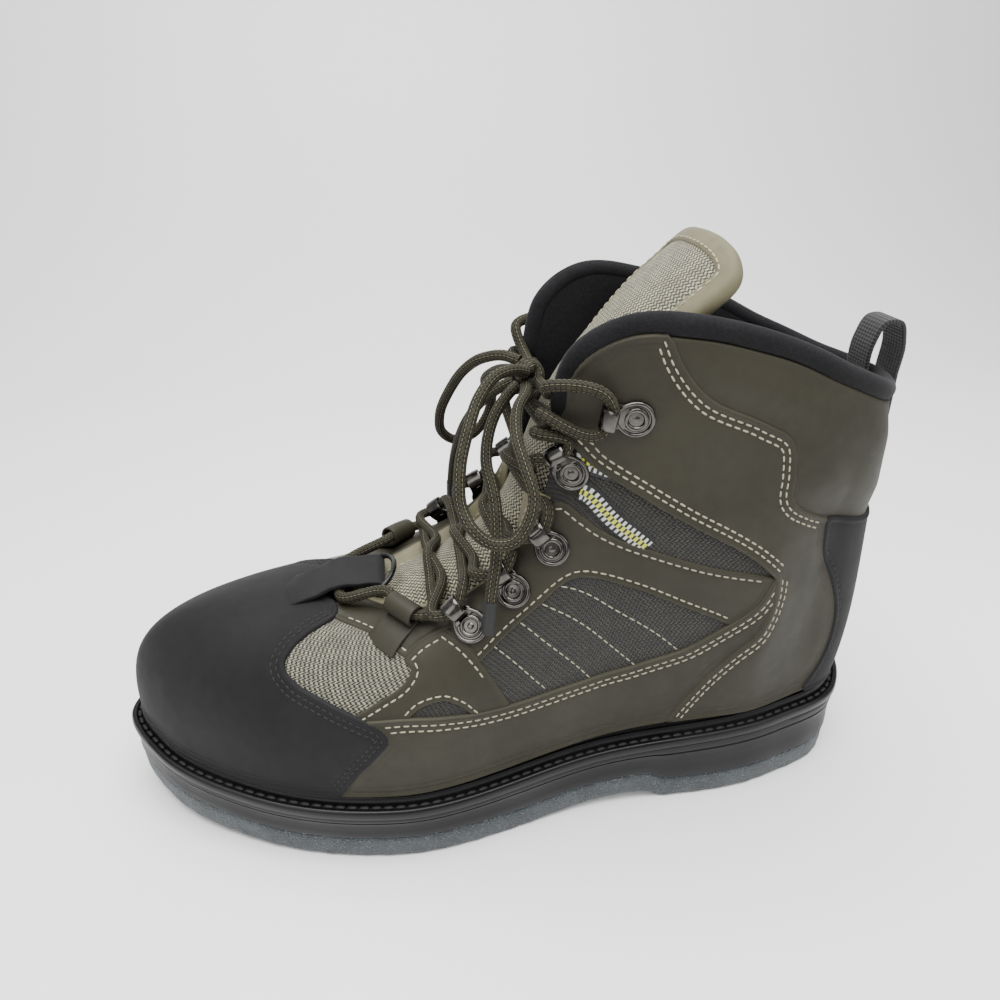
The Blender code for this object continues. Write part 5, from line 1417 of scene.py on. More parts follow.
stitch_object("cream_stitching", cream_rows, CREAM)
stitch_object("black_stitching", black_rows, BLACK_THREAD)
stitch_object("welt_stitching", [welt_stitches], BLACK_THREAD)
print("stitches:", sum(len(row[0]) for row in cream_rows + black_rows) + len(welt_at))

# %% [markdown]
# ## Padding at the collar
# A soft roll of black knit closes the top of the shaft, and a padded lining swells inside it.

# %% Collar roll
ROLL_END = 0.2165
roll_u = np.linspace(-ROLL_END, ROLL_END, 221)
roll_places = np.stack([roll_u, np.ones_like(roll_u)], axis=1)
roll_edge = look(SKIN, roll_places)
roll_out = facing(roll_places)
roll_run = unit(np.gradient(roll_edge, axis=0))
roll_rise = unit(np.cross(roll_run, roll_out))
roll_mile = distances(roll_edge)
to_end = np.minimum(roll_mile, roll_mile[-1] - roll_mile)
roll_size = np.sqrt(np.clip(1 - (1 - np.clip(to_end / (9 * MM), 0, 1)) ** 2, 0.0004, 1))
roll_wave = 1 + 0.03 * np.sin(roll_mile / (11 * MM)) + 0.02 * np.sin(roll_mile / (4.3 * MM) + 1)
roll_centre = roll_edge - roll_out * 0.3 * MM + roll_rise * 0.9 * MM
roll_grid = []
for a in np.linspace(0, 2 * math.pi, 25)[:-1]:
    size = (roll_size * roll_wave)[:, None]
    sideways = roll_out * math.cos(a) * 3.1 * MM * size
    upwards = roll_rise * math.sin(a) * 3.7 * MM * size
    roll_grid.append(roll_centre + sideways + upwards)
collar_roll = make_consistent(from_grid("collar_roll", roll_grid, closed=True))
dress(collar_roll, PADDING, "collar_binding")

# %% [markdown]
# The lining is a grid of the last's surface, pushed inwards by the depth of its foam.

# %% Padded lining
pad_u = np.linspace(-0.2135, 0.2135, 181)
pad_v = np.linspace(0.42, 1.0, 61)
pad_places = np.stack(np.meshgrid(pad_u, pad_v, indexing="ij"), axis=-1)
side_fade = np.sin(np.pi * np.clip((pad_u + 0.2135) / 0.427, 0, 1)) ** 0.35
up_fade = smoothstep((pad_v - 0.42) / 0.22) * np.sqrt(np.clip(1 - ((pad_v - 0.80) / 0.235) ** 4, 0.0, 1))
pad_depth = 5.0 * MM * side_fade[:, None] * up_fade[None, :]
lining = from_grid("padded_lining", on_skin(pad_places, -(UPPER_WALL - 0.4 * MM) - pad_depth))
lining.data.flip_normals()
dress(lining, PADDING)
print("collar roll", len(collar_roll.data.polygons), "lining", len(lining.data.polygons))

# %% [markdown]
# ## The tongue
# The tongue is a padded leaf of knit, read from a short table along its middle. A tan tape is folded over its
# edge and stitched with cream thread.

# %% Tongue
# Name, place along the sole and height (in sole lengths and collar heights), half width (in ball widths), and
# how deep the sides wrap down
TONGUE = [
    ("root", 0.705, 0.424, 0.120, 2.5 * MM),
    ("under vamp", 0.657, 0.440, 0.160, 5.0 * MM),
    ("first row", 0.610, 0.468, 0.230, 9.0 * MM),
    ("second row", 0.562, 0.510, 0.280, 14.5 * MM),
    ("third row", 0.520, 0.567, 0.270, 18.5 * MM),
    ("bend", 0.490, 0.636, 0.262, 19.0 * MM),
    ("ankle", 0.472, 0.712, 0.248, 17.0 * MM),
    ("shin", 0.452, 0.795, 0.240, 14.0 * MM),
    ("lean", 0.425, 0.876, 0.235, 12.0 * MM),
    ("collar", 0.384, 0.955, 0.235, 9.0 * MM),
    ("leaf", 0.335, 1.030, 0.262, 7.0 * MM),
    ("brow", 0.292, 1.086, 0.268, 6.0 * MM),
    ("tip", 0.268, 1.118, 0.262, 5.0 * MM),
]
TONGUE_THICKNESS = 5 * MM
TONGUE_CORNER = 13 * MM
TONGUE_PUFF = 1.2 * MM
tongue_rows = np.array([(x * SOLE_LENGTH - HEEL_CENTRE, z * COLLAR_HEIGHT, half * BALL_WIDTH, wrap)
                        for _, x, z, half, wrap in TONGUE])
tongue_knots = distances(tongue_rows[:, :2])
TONGUE_LENGTH = tongue_knots[-1]


def tongue_half(a):
    """Half width of the tongue at a distance along it, rounded at the tip."""
    a = np.atleast_1d(np.asarray(a, float))
    half = np.atleast_1d(through(tongue_knots, tongue_rows[:, 2], np.clip(a, 0, TONGUE_LENGTH)))
    past = np.clip((a - (TONGUE_LENGTH - TONGUE_CORNER)) / TONGUE_CORNER, 0.0, 1.0)
    return half * np.power(np.clip(1 - past ** 3, 0.0, 1.0), 1 / 3)


def tongue_point(a, b):
    """Point and normal of the outer face at distances along (a) and across (b)."""
    a = np.atleast_1d(np.asarray(a, float))
    b = np.atleast_1d(np.asarray(b, float))
    e = 0.5 * MM
    low = np.clip(a - e, 0, TONGUE_LENGTH)
    high = np.clip(a + e, 0, TONGUE_LENGTH)
    here = through(tongue_knots, tongue_rows, np.clip(a, 0, TONGUE_LENGTH)).reshape(-1, 4)
    middle = tongue_rows[:, :2]
    t = (through(tongue_knots, middle, high) - through(tongue_knots, middle, low)).reshape(-1, 2)
    t = unit(t)
    normal = np.stack([t[:, 1], np.zeros(len(a)), -t[:, 0]], axis=1)
    q = b / here[:, 2]
    sink = here[:, 3] * q * q - TONGUE_PUFF * np.clip(1 - q ** 4, 0, 1)
    point = np.stack([here[:, 0], b, here[:, 1]], axis=1) - normal * sink[:, None]
    lean = 2 * here[:, 3] * q / here[:, 2]
    away = normal + np.stack([np.zeros(len(a)), lean, np.zeros(len(a))], axis=1)
    return point, unit(away)


along = np.r_[np.linspace(0, TONGUE_LENGTH - TONGUE_CORNER, 90),
              TONGUE_LENGTH - TONGUE_CORNER * (1 - np.sin(np.linspace(0.07, 1, 16) * math.pi / 2))]
across_q = np.sin(np.linspace(-1, 1, 33) * math.pi / 2)
tongue_points, tongue_faces, tongue_uv = [], [], []
for a in along:
    half = max(tongue_half(a)[0], 0.05 * MM)
    b = across_q * half
    face, away = tongue_point(np.full(len(b), a), b)
    edge_fade = np.sqrt(np.clip(1 - across_q ** 10, 0, 1))
    tip_fade = math.sqrt(max(1 - max((a - TONGUE_LENGTH + 3 * MM) / (3 * MM), 0) ** 2, 0.01))
    thick = TONGUE_THICKNESS * edge_fade * tip_fade
    middle = face - away * TONGUE_THICKNESS / 2
    over = middle + away * (thick / 2)[:, None]
    under = (middle - away * (thick / 2)[:, None])[::-1]
    tongue_points += list(over) + list(under)
    tongue_uv += [(x, a) for x in b] + [(x, a) for x in b[::-1]]
count = 2 * len(across_q)
for i in range(len(along) - 1):
    for k in range(count):
        j = (k + 1) % count
        tongue_faces.append((i * count + k, i * count + j, (i + 1) * count + j, (i + 1) * count + k))
for base in (0, (len(along) - 1) * count):
    tongue_faces += [(base + k, base + k + 1, base + count - 2 - k, base + count - 1 - k)
                     for k in range(count // 2 - 1)]
tongue = make_consistent(from_faces("padded_tongue", tongue_points, tongue_faces, uv=tongue_uv))
dress(tongue, TONGUE_MESH, "tongue")

# %% [markdown]
# The tape's section is drawn once and carried round the tongue's rim, so it folds over the edge.

# %% Tongue tape and its stitches
TAPE_START = 0.50 * TONGUE_LENGTH
TAPE_WIDTH = 7.0 * MM
tape_a = np.r_[np.linspace(TAPE_START, TONGUE_LENGTH - TONGUE_CORNER, 60),
               TONGUE_LENGTH - TONGUE_CORNER * (1 - np.sin(np.linspace(0.03, 1, 40) * math.pi / 2))]
rim_right = np.stack([tape_a, tongue_half(tape_a)], axis=1)
rim_line = np.concatenate([rim_right, (rim_right * [1, -1])[-2::-1]])
rim_mile = distances(rim_line)
rim_line = read_along(rim_line, rim_mile, np.linspace(0, rim_mile[-1], 161))
rim_run = unit(np.gradient(rim_line, axis=0))
rim_in = np.stack([rim_run[:, 1], -rim_run[:, 0]], axis=1)
if (rim_line[40] + rim_in[40] * 5 * MM)[1] > rim_line[40][1]:
    rim_in = -rim_in
# Share of the tape's width in from the rim, and height over the face in mm
tape_section = [(1.0, -0.2), (0.97, 0.55), (0.7, 0.75), (0.3, 0.75), (0.08, 0.5), (-0.07, -0.9),
                (-0.12, -2.5), (-0.07, -4.1), (0.08, -5.5), (0.3, -5.75), (0.97, -5.6), (1.0, -4.8)]
tape_grid = []
for w, n in tape_section:
    spot = rim_line + rim_in * max(w, 0.0) * TAPE_WIDTH
    face, away = tongue_point(spot[:, 0], spot[:, 1])
    if w < 0:
        inner, _ = tongue_point((rim_line + rim_in * MM)[:, 0], (rim_line + rim_in * MM)[:, 1])
        outward = unit(face - inner)
        face = face + outward * -w * TAPE_WIDTH
    tape_grid.append(face + away * n * MM)
tape = make_consistent(from_grid("tongue_tape", tape_grid))
dress(tape, OLIVE_SOFT)


def line_row(points, away, lift, length=2.3 * MM, pitch=3.3 * MM, thick=0.31 * MM):
    """A row of stitches along points that lie off the pattern."""
    return row_of(points + away * lift, away, length, pitch, thick, pitch, pitch)


seam_spots = rim_line + rim_in * 5.6 * MM
seam_points, seam_away = tongue_point(seam_spots[:, 0], seam_spots[:, 1])
stitch_object("tongue_stitching", [line_row(seam_points, seam_away, 0.75 * MM)], CREAM)
print("tongue:", len(tongue.data.polygons), "tape:", len(tape.data.polygons))

# %% [markdown]
# ## Throat trim
# Inside the throat runs a pale olive facing with cream stitches, which the tongue and its gusset are sewn to.

# %% Throat trim
trim_u = np.linspace(0.247, 0.753, 261)
trim_edge = look(SKIN, np.stack([trim_u, np.ones_like(trim_u)], axis=1))
trim_out = facing(np.stack([trim_u, np.ones_like(trim_u)], axis=1))
trim_run = unit(np.gradient(trim_edge, axis=0))
trim_in = unit(np.cross(trim_run, trim_out))
# In from the throat edge and over the surface, in mm
TRIM_SECTION = [(-3.0, 0.2), (-1.0, 0.75), (0.5, 0.85), (1.6, 0.2), (3.2, -0.9), (6.0, -2.3), (8.6, -4.0),
                (8.7, -5.4)]
trim_grid = [trim_edge + trim_in * w * MM + trim_out * n * MM for w, n in TRIM_SECTION]
trim = from_grid("throat_trim", trim_grid)
thicken(trim, 0.9 * MM)
apply_all(trim)
make_consistent(trim)
dress(trim, OLIVE_SOFT)
trim_line = trim_edge + trim_in * 4.6 * MM + trim_out * -1.2 * MM

stitch_object("trim_stitching", [line_row(trim_line, trim_out, 0.35 * MM)], CREAM)

# %% [markdown]
# Two short lengths of woven tape lie on the ankle mesh and meet in a point near the throat.

# %% Ribbed tape in the ankle wedge
def tape_strip(name, side, corners, lift):
    """A ribbon of woven tape lying on the mesh along a line of places."""
    line = np.array([(on_side(share, side), up) for share, up in corners])
    line = through(np.arange(len(line)), line, np.linspace(0, len(line) - 1, 60))
    middle = on_skin(line, lift)
    away = facing(line)
    run = unit(np.gradient(middle, axis=0))
    cross = np.cross(away, run)
    mile = distances(middle)
    lanes = [(-4.3, -0.6), (-4.0, 0.0), (-1.2, 0.25), (0.0, 0.3), (1.2, 0.25), (4.0, 0.0), (4.3, -0.6)]
    grid = [middle + cross * w * MM + away * h * MM for w, h in lanes]
    strip = from_grid(name, grid, uv=[(w * MM, m) for w, h in lanes for m in mile])
    return dress(strip, TAPE)


UPPER_TAPE = [(0.452, 0.915), (0.430, 0.880), (0.398, 0.820), (0.362, 0.752)]
LOWER_TAPE = [(0.408, 0.765), (0.388, 0.716), (0.368, 0.635), (0.343, 0.550)]
for word, side, tag in SIDES:
    tape_strip("upper_tape_" + word, side, UPPER_TAPE, 1.2 * MM)
    tape_strip("lower_tape_" + word, side, LOWER_TAPE, 1.05 * MM)
print("tape laid on both sides")

# %% [markdown]
# ## Pull loop, toe tab and ring
# Strips are drawn along short lines of places and given their thickness.

# %% Strips and tubes
def strap_strip(name, line, width, thickness, mat, replaced, sag=0.0):
    """A strip of webbing along a line in the middle plane, its width across the boot."""
    line = smooth_line([(x, 0.0, z) for x, z in line], 0.8 * MM)
    mile = distances(line)
    fade = 1 - smoothstep(mile / (17 * MM))
    grid, uv = [], []
    for lane in np.linspace(-0.5, 0.5, 13):
        drop = sag * 4 * lane * lane * fade
        grid.append(line + np.stack([0 * drop, np.full(len(line), lane * width), -drop], axis=1))
        uv += [(lane * width, m) for m in mile]
    obj = from_grid(name, grid, uv=uv)
    thicken(obj, thickness)
    round_edges(obj, 0.35 * MM)
    apply_all(obj)
    make_consistent(obj)
    return dress(obj, mat, replaced)


heel_edge = look(SKIN, np.array([[0.0, 1.0]]))[0]
PULL_LINE = [(5.8, -18.0), (5.5, -8.0), (5.2, 2.0), (5.2, 15.0), (2.2, 22.5), (-3.6, 22.5), (-7.0, 15.5),
             (-7.3, 2.0), (-6.2, -6.0), (-5.6, -12.0)]
strap_strip("pull_loop_webbing", [(heel_edge[0] - out * MM, heel_edge[2] + up * MM) for out, up in PULL_LINE],
            13 * MM, 1.6 * MM, WEBBING, "pull_loop")

throat_front = look(SKIN, np.array([[0.5, 1.0]]))[0]
crown_line = look(SKIN, np.stack([np.full(61, 0.5), np.linspace(0, 1, 61)], axis=1))


def crown(ahead):
    """Height of the middle of the vamp at a distance ahead of the throat, held level behind it."""
    return np.interp(throat_front[0] + max(ahead, 0.0), crown_line[::-1, 0], crown_line[::-1, 2])


RING_TAB_LINE = [(34.0, 0.7), (25.0, 2.3), (16.0, 4.0), (10.5, 6.7), (5.5, 7.8), (0.0, 7.4), (-5.0, 7.6),
                 (-9.0, 6.6), (-9.6, 3.6), (-6.6, 2.0), (-3.0, 2.2)]
strap_strip("toe_tab", [(throat_front[0] + a * MM, crown(a * MM) + up * MM) for a, up in RING_TAB_LINE],
            21 * MM, 1.6 * MM, NUBUCK, "ring_tab", sag=2.6 * MM)


def tube(name, line, radius, sides=14, closed=False):
    """A round tube along a line, with a UV map: once round it, and metres along it."""
    line = np.asarray(line, float)
    n = len(line)
    run = unit(np.roll(line, -1, axis=0) - np.roll(line, 1, axis=0) if closed else np.gradient(line, axis=0))
    mile = distances(line)
    start = np.cross(run[0], (0.13, 0.21, 1.0))
    points = []
    for k in range(n):
        start = start - run[k] * np.dot(start, run[k])
        start /= np.linalg.norm(start)
        other = np.cross(run[k], start)
        points += [line[k] + (start * math.cos(a) + other * math.sin(a)) * radius
                   for a in np.linspace(0, 2 * math.pi, sides + 1)[:-1]]
    faces, uv = [], []
    for i in range(n if closed else n - 1):
        j = (i + 1) % n
        for k in range(sides):
            m = (k + 1) % sides
            faces.append((i * sides + k, i * sides + m, j * sides + m, j * sides + k))
            v = (mile[i], mile[j] if j else mile[i] + 1 * MM)
            uv += [(k / sides, v[0]), ((k + 1) / sides, v[0]), ((k + 1) / sides, v[1]), (k / sides, v[1])]
    if not closed:
        for base, flip in ((0, True), ((n - 1) * sides, False)):
            ring = [base + k for k in range(sides)]
            faces.append(tuple(ring[::-1] if flip else ring))
            uv += [(0.5, mile[0 if flip else -1])] * sides
    mesh = bpy.data.meshes.new(name)
    mesh.from_pydata([tuple(p) for p in points], [], faces)
    layer = mesh.uv_layers.new(name="UVMap")
    layer.data.foreach_set("uv", np.array(uv, float).ravel())
    mesh.shade_smooth()
    mesh.set_sharp_from_angle(angle=math.radians(60))
    obj = bpy.data.objects.new(name, mesh)
    bpy.context.scene.collection.objects.link(obj)
    return make_consistent(obj)


# %% [markdown]
# The ring hangs from the tab's back fold: a straight bar and half an oval.

# %% Ring on the toe tab
ring_bar = np.array([throat_front[0] - 6.6 * MM, 0.0, crown(0.0) + 4.9 * MM])
ring_back = np.array([-math.cos(math.radians(30)), 0.0, math.sin(math.radians(30))])
RING_HALF = 12 * MM
ring_line = [(0.0, t * (RING_HALF - 1.5 * MM)) for t in np.linspace(-1, 1, 15)]
ring_turns = np.radians(np.linspace(10, 170, 33))
ring_line += [((RING_HALF - 3 * MM) * math.sin(t), RING_HALF * math.cos(t)) for t in ring_turns]
ring_points = [ring_bar + ring_back * a + np.array([0, y, 0]) for a, y in ring_line]
ring = tube("toe_ring", ring_points, 1.1 * MM, closed=True)
dress(ring, RING_METAL, "strap_ring")
print("tab, ring and pull loop done")

# %% [markdown]
# ## Lace hardware
# Three riveted loops, an ankle hook and a top hook stand on each side, and the lowest place is a folded loop
# of the upper's own material. Each is made flat at the origin and then set on the upper.

# %% Hardware places
# Name, kind, its place (share round the side, share up) and the place at the throat that it points to
FIXTURES = [
    ("lace_fold", "fold", 0.715, 0.840, 0.742, 1.000),
    ("lace_loop_1", "loop", 0.585, 0.736, 0.635, 0.900),
    ("lace_loop_2", "loop", 0.535, 0.771, 0.570, 0.943),
    ("lace_loop_3", "loop", 0.478, 0.771, 0.510, 0.936),
    ("ankle_hook", "hook", 0.425, 0.850, 0.452, 1.000),
    ("top_hook", "hook", 0.340, 0.850, 0.365, 0.879),
]
HOOP_REACH = 8 * MM
HOOP_RADIUS = LACE_DIAMETER / 2 + 2.1 * MM


def fixture_frame(row, side):
    """Root, axes towards the throat, off the surface and up the row, and the centre of the lace's way."""
    _, kind, share, up, to_share, to_up = row
    u = on_side(np.array([share, to_share]), side)
    root, target = look(SKIN, np.stack([u, [up, to_up]], axis=1))
    normal = facing(np.array([[u[0], up]]))[0]
    ahead = target - root
    ahead = ahead - normal * np.dot(ahead, normal)
    ahead /= np.linalg.norm(ahead)
    along = np.cross(ahead, normal) * side
    seat = SHAFT_TOP if row[0] == "top_hook" else 0.8 * MM if row[0] == "ankle_hook" else SADDLE_TOP
    root = root + normal * seat
    return root, ahead, normal, along, root + ahead * HOOP_REACH + normal * HOOP_RADIUS


def set_on(obj, frame):
    """Moves a piece made at the origin (x towards the throat, z off the surface) to its place."""
    root, ahead, normal, along, _ = frame
    side_axis = np.cross(normal, ahead)
    rows = [(ahead[k], side_axis[k], normal[k], root[k]) for k in range(3)]
    matrix = Matrix(rows + [(0, 0, 0, 1)])
    obj.data.transform(matrix)
    return obj


def bent_strip(name, path, widths, thickness):
    """A strip in the xz plane with a width for each place, thickened and its edges rounded."""
    path = np.asarray(path, float)
    knots = np.linspace(0, 1, len(path))
    fine = np.linspace(0, 1, 4 * len(path))
    line = through(knots, path, fine)
    width = through(knots, np.asarray(widths, float), fine)
    points, faces = [], []
    lanes = np.linspace(-0.5, 0.5, 7)
    for (x, z), w in zip(line, width):
        points += [(x * MM, lane * w * MM, z * MM + 0.25 * MM * (1 - 4 * lane * lane)) for lane in lanes]
    for i in range(len(line) - 1):
        for k in range(6):
            faces.append((i * 7 + k, i * 7 + k + 1, (i + 1) * 7 + k + 1, (i + 1) * 7 + k))
    obj = from_faces(name, points, faces)
    thicken(obj, thickness)
    round_edges(obj, 0.4 * MM)
    apply_all(obj)
    return make_consistent(obj)


def hoop_path(first, last):
    r = HOOP_RADIUS / MM - 0.6
    angles = np.radians(np.arange(first, last + 1, 22))
    return [(8 + r * math.cos(t), HOOP_RADIUS / MM + r * math.sin(t)) for t in angles]


def build_metal(name, kind):
    """Plate with a raised rim, rivet and bent hoop, joined to one mesh at the origin."""
    arc = hoop_path(-90, 196 if kind == "loop" else 108)
    path = [(3.0, 0.9), (5.5, 0.75)] + arc
    if kind == "loop":
        widths = [9.5, 8.6] + list(np.linspace(7.4, 5.0, len(arc)))
    else:
        widths = [9.4, 8.8] + list(np.linspace(8.2, 6.6, len(arc)))
    pieces = [bent_strip(name, path, widths, 1.1 * MM)]
    bpy.ops.object.select_all(action="DESELECT")
    bpy.ops.mesh.primitive_cylinder_add(vertices=48, radius=6.3 * MM, depth=1.1 * MM,
                                        location=(0, 0, 0.55 * MM))
    plate = bpy.context.active_object
    round_edges(plate, 0.35 * MM, 3)
    apply_all(plate)
    pieces.append(plate)
    for major, minor, height in ((5.5, 0.8, 1.05), (3.3, 0.95, 0.95)):
        bpy.ops.object.select_all(action="DESELECT")
        bpy.ops.mesh.primitive_torus_add(major_radius=major * MM, minor_radius=minor * MM, major_segments=48,
                                         minor_segments=12, location=(0, 0, height * MM))
        pieces.append(bpy.context.active_object)
    for piece in pieces[1:3]:
        piece.data.transform(Matrix.Translation(piece.location))
        piece.location = (0, 0, 0)
        for corner in piece.data.vertices:
            if corner.co.x > 0:
                drawn = corner.co.x / (6.3 * MM)
                corner.co.y *= 1 - 0.30 * drawn * drawn
                corner.co.x *= 1.28
    bpy.ops.object.select_all(action="DESELECT")
    bpy.ops.mesh.primitive_uv_sphere_add(segments=32, ring_count=16, radius=1.5 * MM, location=(0, 0, 0))
    rivet = bpy.context.active_object
    rivet.data.transform(Matrix.Translation((0, 0, 0.8 * MM)) @ Matrix.Scale(0.35, 4, (0, 0, 1)))
    pieces.append(rivet)
    bpy.ops.object.select_all(action="DESELECT")
    for piece in pieces:
        piece.select_set(True)
    bpy.context.view_layer.objects.active = pieces[0]
    bpy.ops.object.transform_apply(location=True, rotation=True, scale=True)
    bpy.ops.object.join()
    obj = bpy.context.active_object
    obj.name = name
    obj.data.shade_smooth()
    obj.data.set_sharp_from_angle(angle=math.radians(40))
    return obj


for row in FIXTURES:
    for word, side, tag in SIDES:
        frame_here = fixture_frame(row, side)
        if row[1] == "fold":
            arc = hoop_path(-90, 218)
            foot = [(-8.0, -1.6), (-5.0, -0.5), (-1.5, 0.3), (3.0, 0.5)]
            fold = bent_strip("folded_loop_" + word, foot + arc,
                              [14.0, 13.8, 13.5, 13.5] + [13.0] * len(arc), 1.2 * MM)
            dress(set_on(fold, frame_here), OLIVE, row[0] + tag)
        else:
            piece = set_on(build_metal(row[0] + "_metal_" + word, row[1]), frame_here)
            dress(piece, GUNMETAL, row[0] + tag)
print("hardware done")

# %% [markdown]
# ## Laces
# Two mirrored runs start at the bar over the toe, pass through every loop and hook, cross on the tongue and
# end at the knot.

# %% Laces through the hardware
CROSSINGS = [0.203, 0.275, 0.365, 0.480, 0.590]
EDGE_SHARES = (0.428, 0.408)
HOOK_EXIT_SHARE = 0.443
KNOT = np.array([101.0, 0.0, 176.0]) * MM
KNOT_STRAND = [(98.5, 22.0, 176.0), (98.2, 14.0, 175.0), (98.2, 5.2, 174.2)]
BAR_AHEAD = 7.5 * MM


def edge_spot(share, side):
    """The middle of a strand that passes round the front edge of the collar."""
    u = on_side(share, side)
    below, edge, above = look(SKIN, np.array([[u - 2e-3, 1.0], [u, 1.0], [u + 2e-3, 1.0]]))
    away = facing(np.array([[u, 0.98]]))[0]
    forward = np.cross(above - below, away)
    forward /= np.linalg.norm(forward)
    return edge + away * 4.6 * MM + forward * 6.2 * MM


def lace_run(side):
    """The listed points of one run, from the bottom bar to the knot."""
    over = LACE_DIAMETER / 2 + 0.9 * MM
    bar = np.array([throat_front[0] + BAR_AHEAD, 0.0, crown(BAR_AHEAD) + LACE_DIAMETER / 2 + 1.9 * MM])
    points = [bar, bar + np.array([-1.0 * MM, side * 12 * MM, 0.0])]
    here = side
    for row, cross in zip(FIXTURES, CROSSINGS + [None]):
        _, ahead, normal, along, centre = fixture_frame(row, here)
        wide = (13 if row[1] == "fold" else 7) / 2 * MM
        if cross is None:
            points.append(edge_spot(EDGE_SHARES[0], here))
        points += [centre + ahead * 2.5 * MM - along * (wide + 2.5 * MM), centre - along * wide * 0.5,
                   centre + along * wide * 0.5, centre + ahead * 2.5 * MM + along * (wide + 2.5 * MM)]
        if cross is None:
            points.append(edge_spot(EDGE_SHARES[1], here))
            continue
        if row[1] == "hook":
            points.append(edge_spot(HOOK_EXIT_SHARE, here))
        strand = ((cross - 0.012, 13 * MM), (cross, 0.0), (cross + 0.012, -13 * MM))
        for k, (share, sideways) in enumerate(strand):
            face, away = tongue_point([share * TONGUE_LENGTH], [here * sideways])
            top = 1.9 * MM * (side > 0) if k == 1 else 0.0
            points.append(face[0] + away[0] * (over + top))
        here = -here
    points += [np.array([x, here * y, z]) * MM for x, y, z in KNOT_STRAND]
    return points


lace_pieces = []
for word, side, tag in SIDES:
    line = smooth_line(lace_run(side), 1.6 * MM)
    lace_pieces.append(tube("lace_run_" + word, line, LACE_DIAMETER / 2, sides=14))
dress(lace_pieces[0], CORD, "laces")
dress(lace_pieces[1], CORD)
print("lace lengths:", [round(len(p.data.vertices) / 14 * 1.6, 0) for p in lace_pieces], "mm")

# %% [markdown]
# ## The bow
# The knot ties both runs. Two loops and two loose ends hang from it, the near ones as in the photograph.

# %% Bow
NEAR_LOOP = [
    (148.5, 6.85, 178.8), (154, 10.5, 181), (160.5, 14.5, 180.5), (166.4, 20, 176), (171.6, 28, 166.9),
    (175.2, 34, 155.3), (175.4, 40, 143.5), (172.6, 45, 138.5), (166.4, 48, 134.2), (159.8, 49.5, 135.0),
    (154.9, 49, 141), (152.6, 47, 150), (154.5, 42, 158), (156, 33, 165), (154, 22, 171), (150, 14, 173.2),
    (148.5, 6.6, 173.6),
]
FAR_LOOP = [
    (148.5, -6.85, 178.8), (154, -10.5, 180), (161, -15, 178), (167, -22, 172), (173, -29, 161),
    (177, -34, 149), (176, -39, 139), (170, -43, 133.5), (162, -45, 135), (156, -45, 143),
    (154, -43, 152), (158, -34, 163), (154, -23, 170.5), (150, -14, 173.2), (148.5, -6.6, 173.6),
]
NEAR_END = [
    (150.9, 2.7, 172.9), (154.5, 5, 170.4), (161, 12, 164), (165, 22, 153), (163.5, 33, 143),
    (164, 42, 129), (167, 48, 113), (168.3, 49, 99),
]
FAR_END = [
    (150.9, -2.7, 172.9), (154.5, -5, 170.4), (161, -12, 163), (166, -22, 152), (169, -32, 140),
    (171, -41, 126), (172, -47, 111), (172, -50, 99),
]


def in_frame(points):
    return np.array(points, float) * MM - np.array([HEEL_CENTRE, 0, 0])


def run_length(line):
    return float(np.linalg.norm(np.diff(line, axis=0), axis=1).sum())


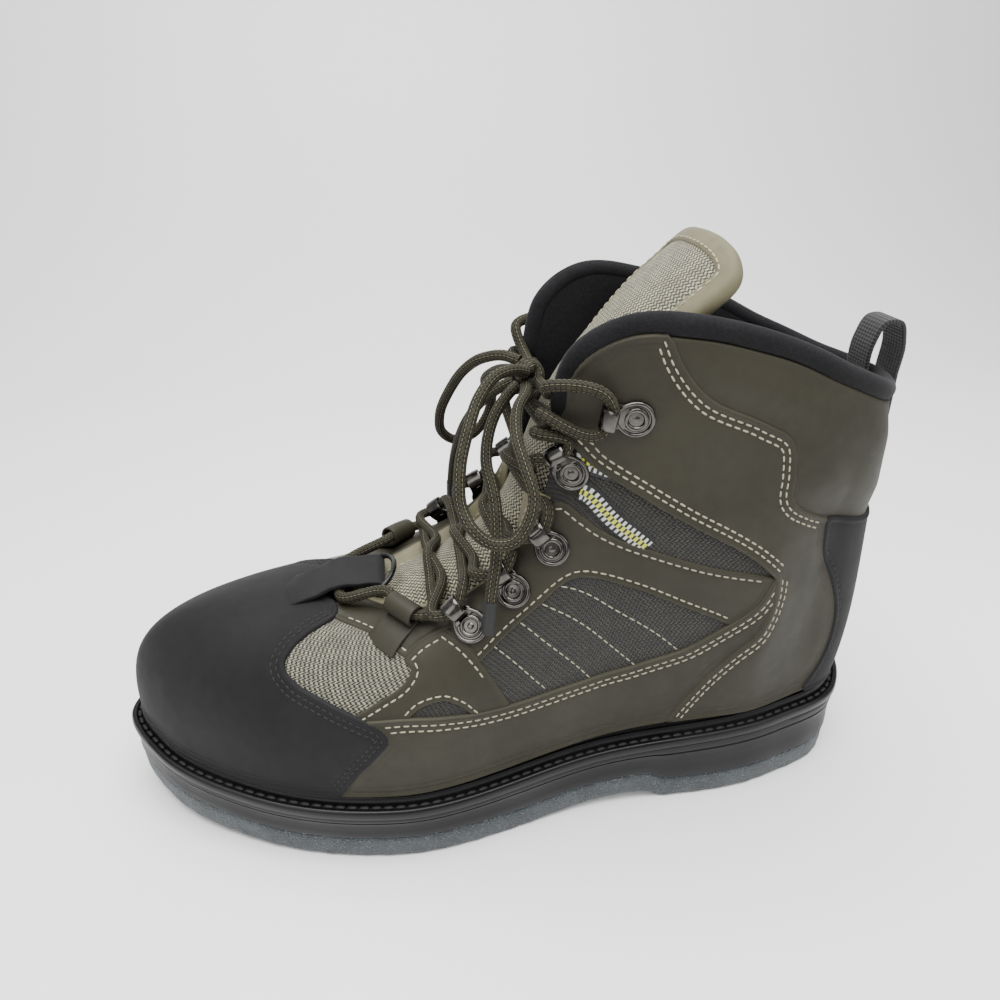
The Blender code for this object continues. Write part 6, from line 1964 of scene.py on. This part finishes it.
knot_line = []
for t in np.linspace(0, 1, 90):
    a = t * 2 * math.pi * 2.25
    across_knot = (t - 0.5) * 7.4 + 0.8 * math.sin(2 * a)
    knot_line.append(KNOT + np.array([math.cos(a) * 3.3, across_knot, math.sin(a) * 3.3]) * MM)
knot = tube("bow_knot", knot_line, LACE_DIAMETER / 2)
dress(knot, CORD, "knot")
BOW = [
    ("near_loop", NEAR_LOOP, "lace_loop_out"),
    ("far_loop", FAR_LOOP, "lace_loop_in"),
    ("near_end", NEAR_END, "lace_end_out"),
    ("far_end", FAR_END, "lace_end_in"),
]
for name, places, replaced in BOW:
    line = smooth_line(in_frame(places), 1.6 * MM)
    piece = tube(name, line, LACE_DIAMETER / 2)
    dress(piece, CORD, replaced)
    if "end" in name:
        tip = tube(name + "_aglet", line[-9:], LACE_DIAMETER / 2 + 0.25 * MM)
        dress(tip, BLACK_THREAD)
    print(name, "length", round(run_length(line), 3))

# %% [markdown]
# ## Floor and light
# The boot stands on a plain pale sweep with a large soft light over it and a weaker one from the toe.

# %% Stage
floor_mat = finish("pale_sweep", 0.45, Base__Color=(0.93, 0.93, 0.925, 1.0))[0]
floor_profile = [(2.2, 0.0), (0.6, 0.0), (-0.5, 0.0)]
sweep_turns = np.linspace(0.06, math.pi / 2, 25)
floor_profile += [(-0.5 - 0.5 * math.sin(t), 0.5 - 0.5 * math.cos(t)) for t in sweep_turns]
floor_profile += [(-1.0, 2.4)]
floor = from_grid("floor", [[(x, y, z) for y, z in floor_profile] for x in np.linspace(-2.6, 2.8, 9)])
floor.data.materials.append(floor_mat)


def soft_light(name, place, target, size, power):
    data = bpy.data.lights.new(name, "AREA")
    data.shape = "DISK"
    data.size = size
    data.energy = power
    light = bpy.data.objects.new(name, data)
    light.location = place
    light.rotation_euler = (Vector(target) - Vector(place)).to_track_quat("-Z", "Y").to_euler()
    bpy.context.scene.collection.objects.link(light)
    return light


# Name, place, point it is aimed at, width and power
LIGHTS = [
    ("top_light", (0.15, 0.05, 1.05), (0.1, 0.0, 0.05), 1.1, 28.0),
    ("front_light", (0.75, 0.75, 0.65), (0.1, 0.0, 0.1), 0.8, 4.5),
    ("heel_light", (-0.65, 0.45, 0.7), (0.05, 0.0, 0.1), 0.8, 4.0),
]
for name, place, target, size, power in LIGHTS:
    soft_light(name, place, target, size, power)
world = bpy.data.worlds.new("studio")
world.use_nodes = True
world.node_tree.nodes["Background"].inputs[0].default_value = (1.0, 1.0, 1.0, 1.0)
world.node_tree.nodes["Background"].inputs[1].default_value = 0.50
bpy.context.scene.world = world
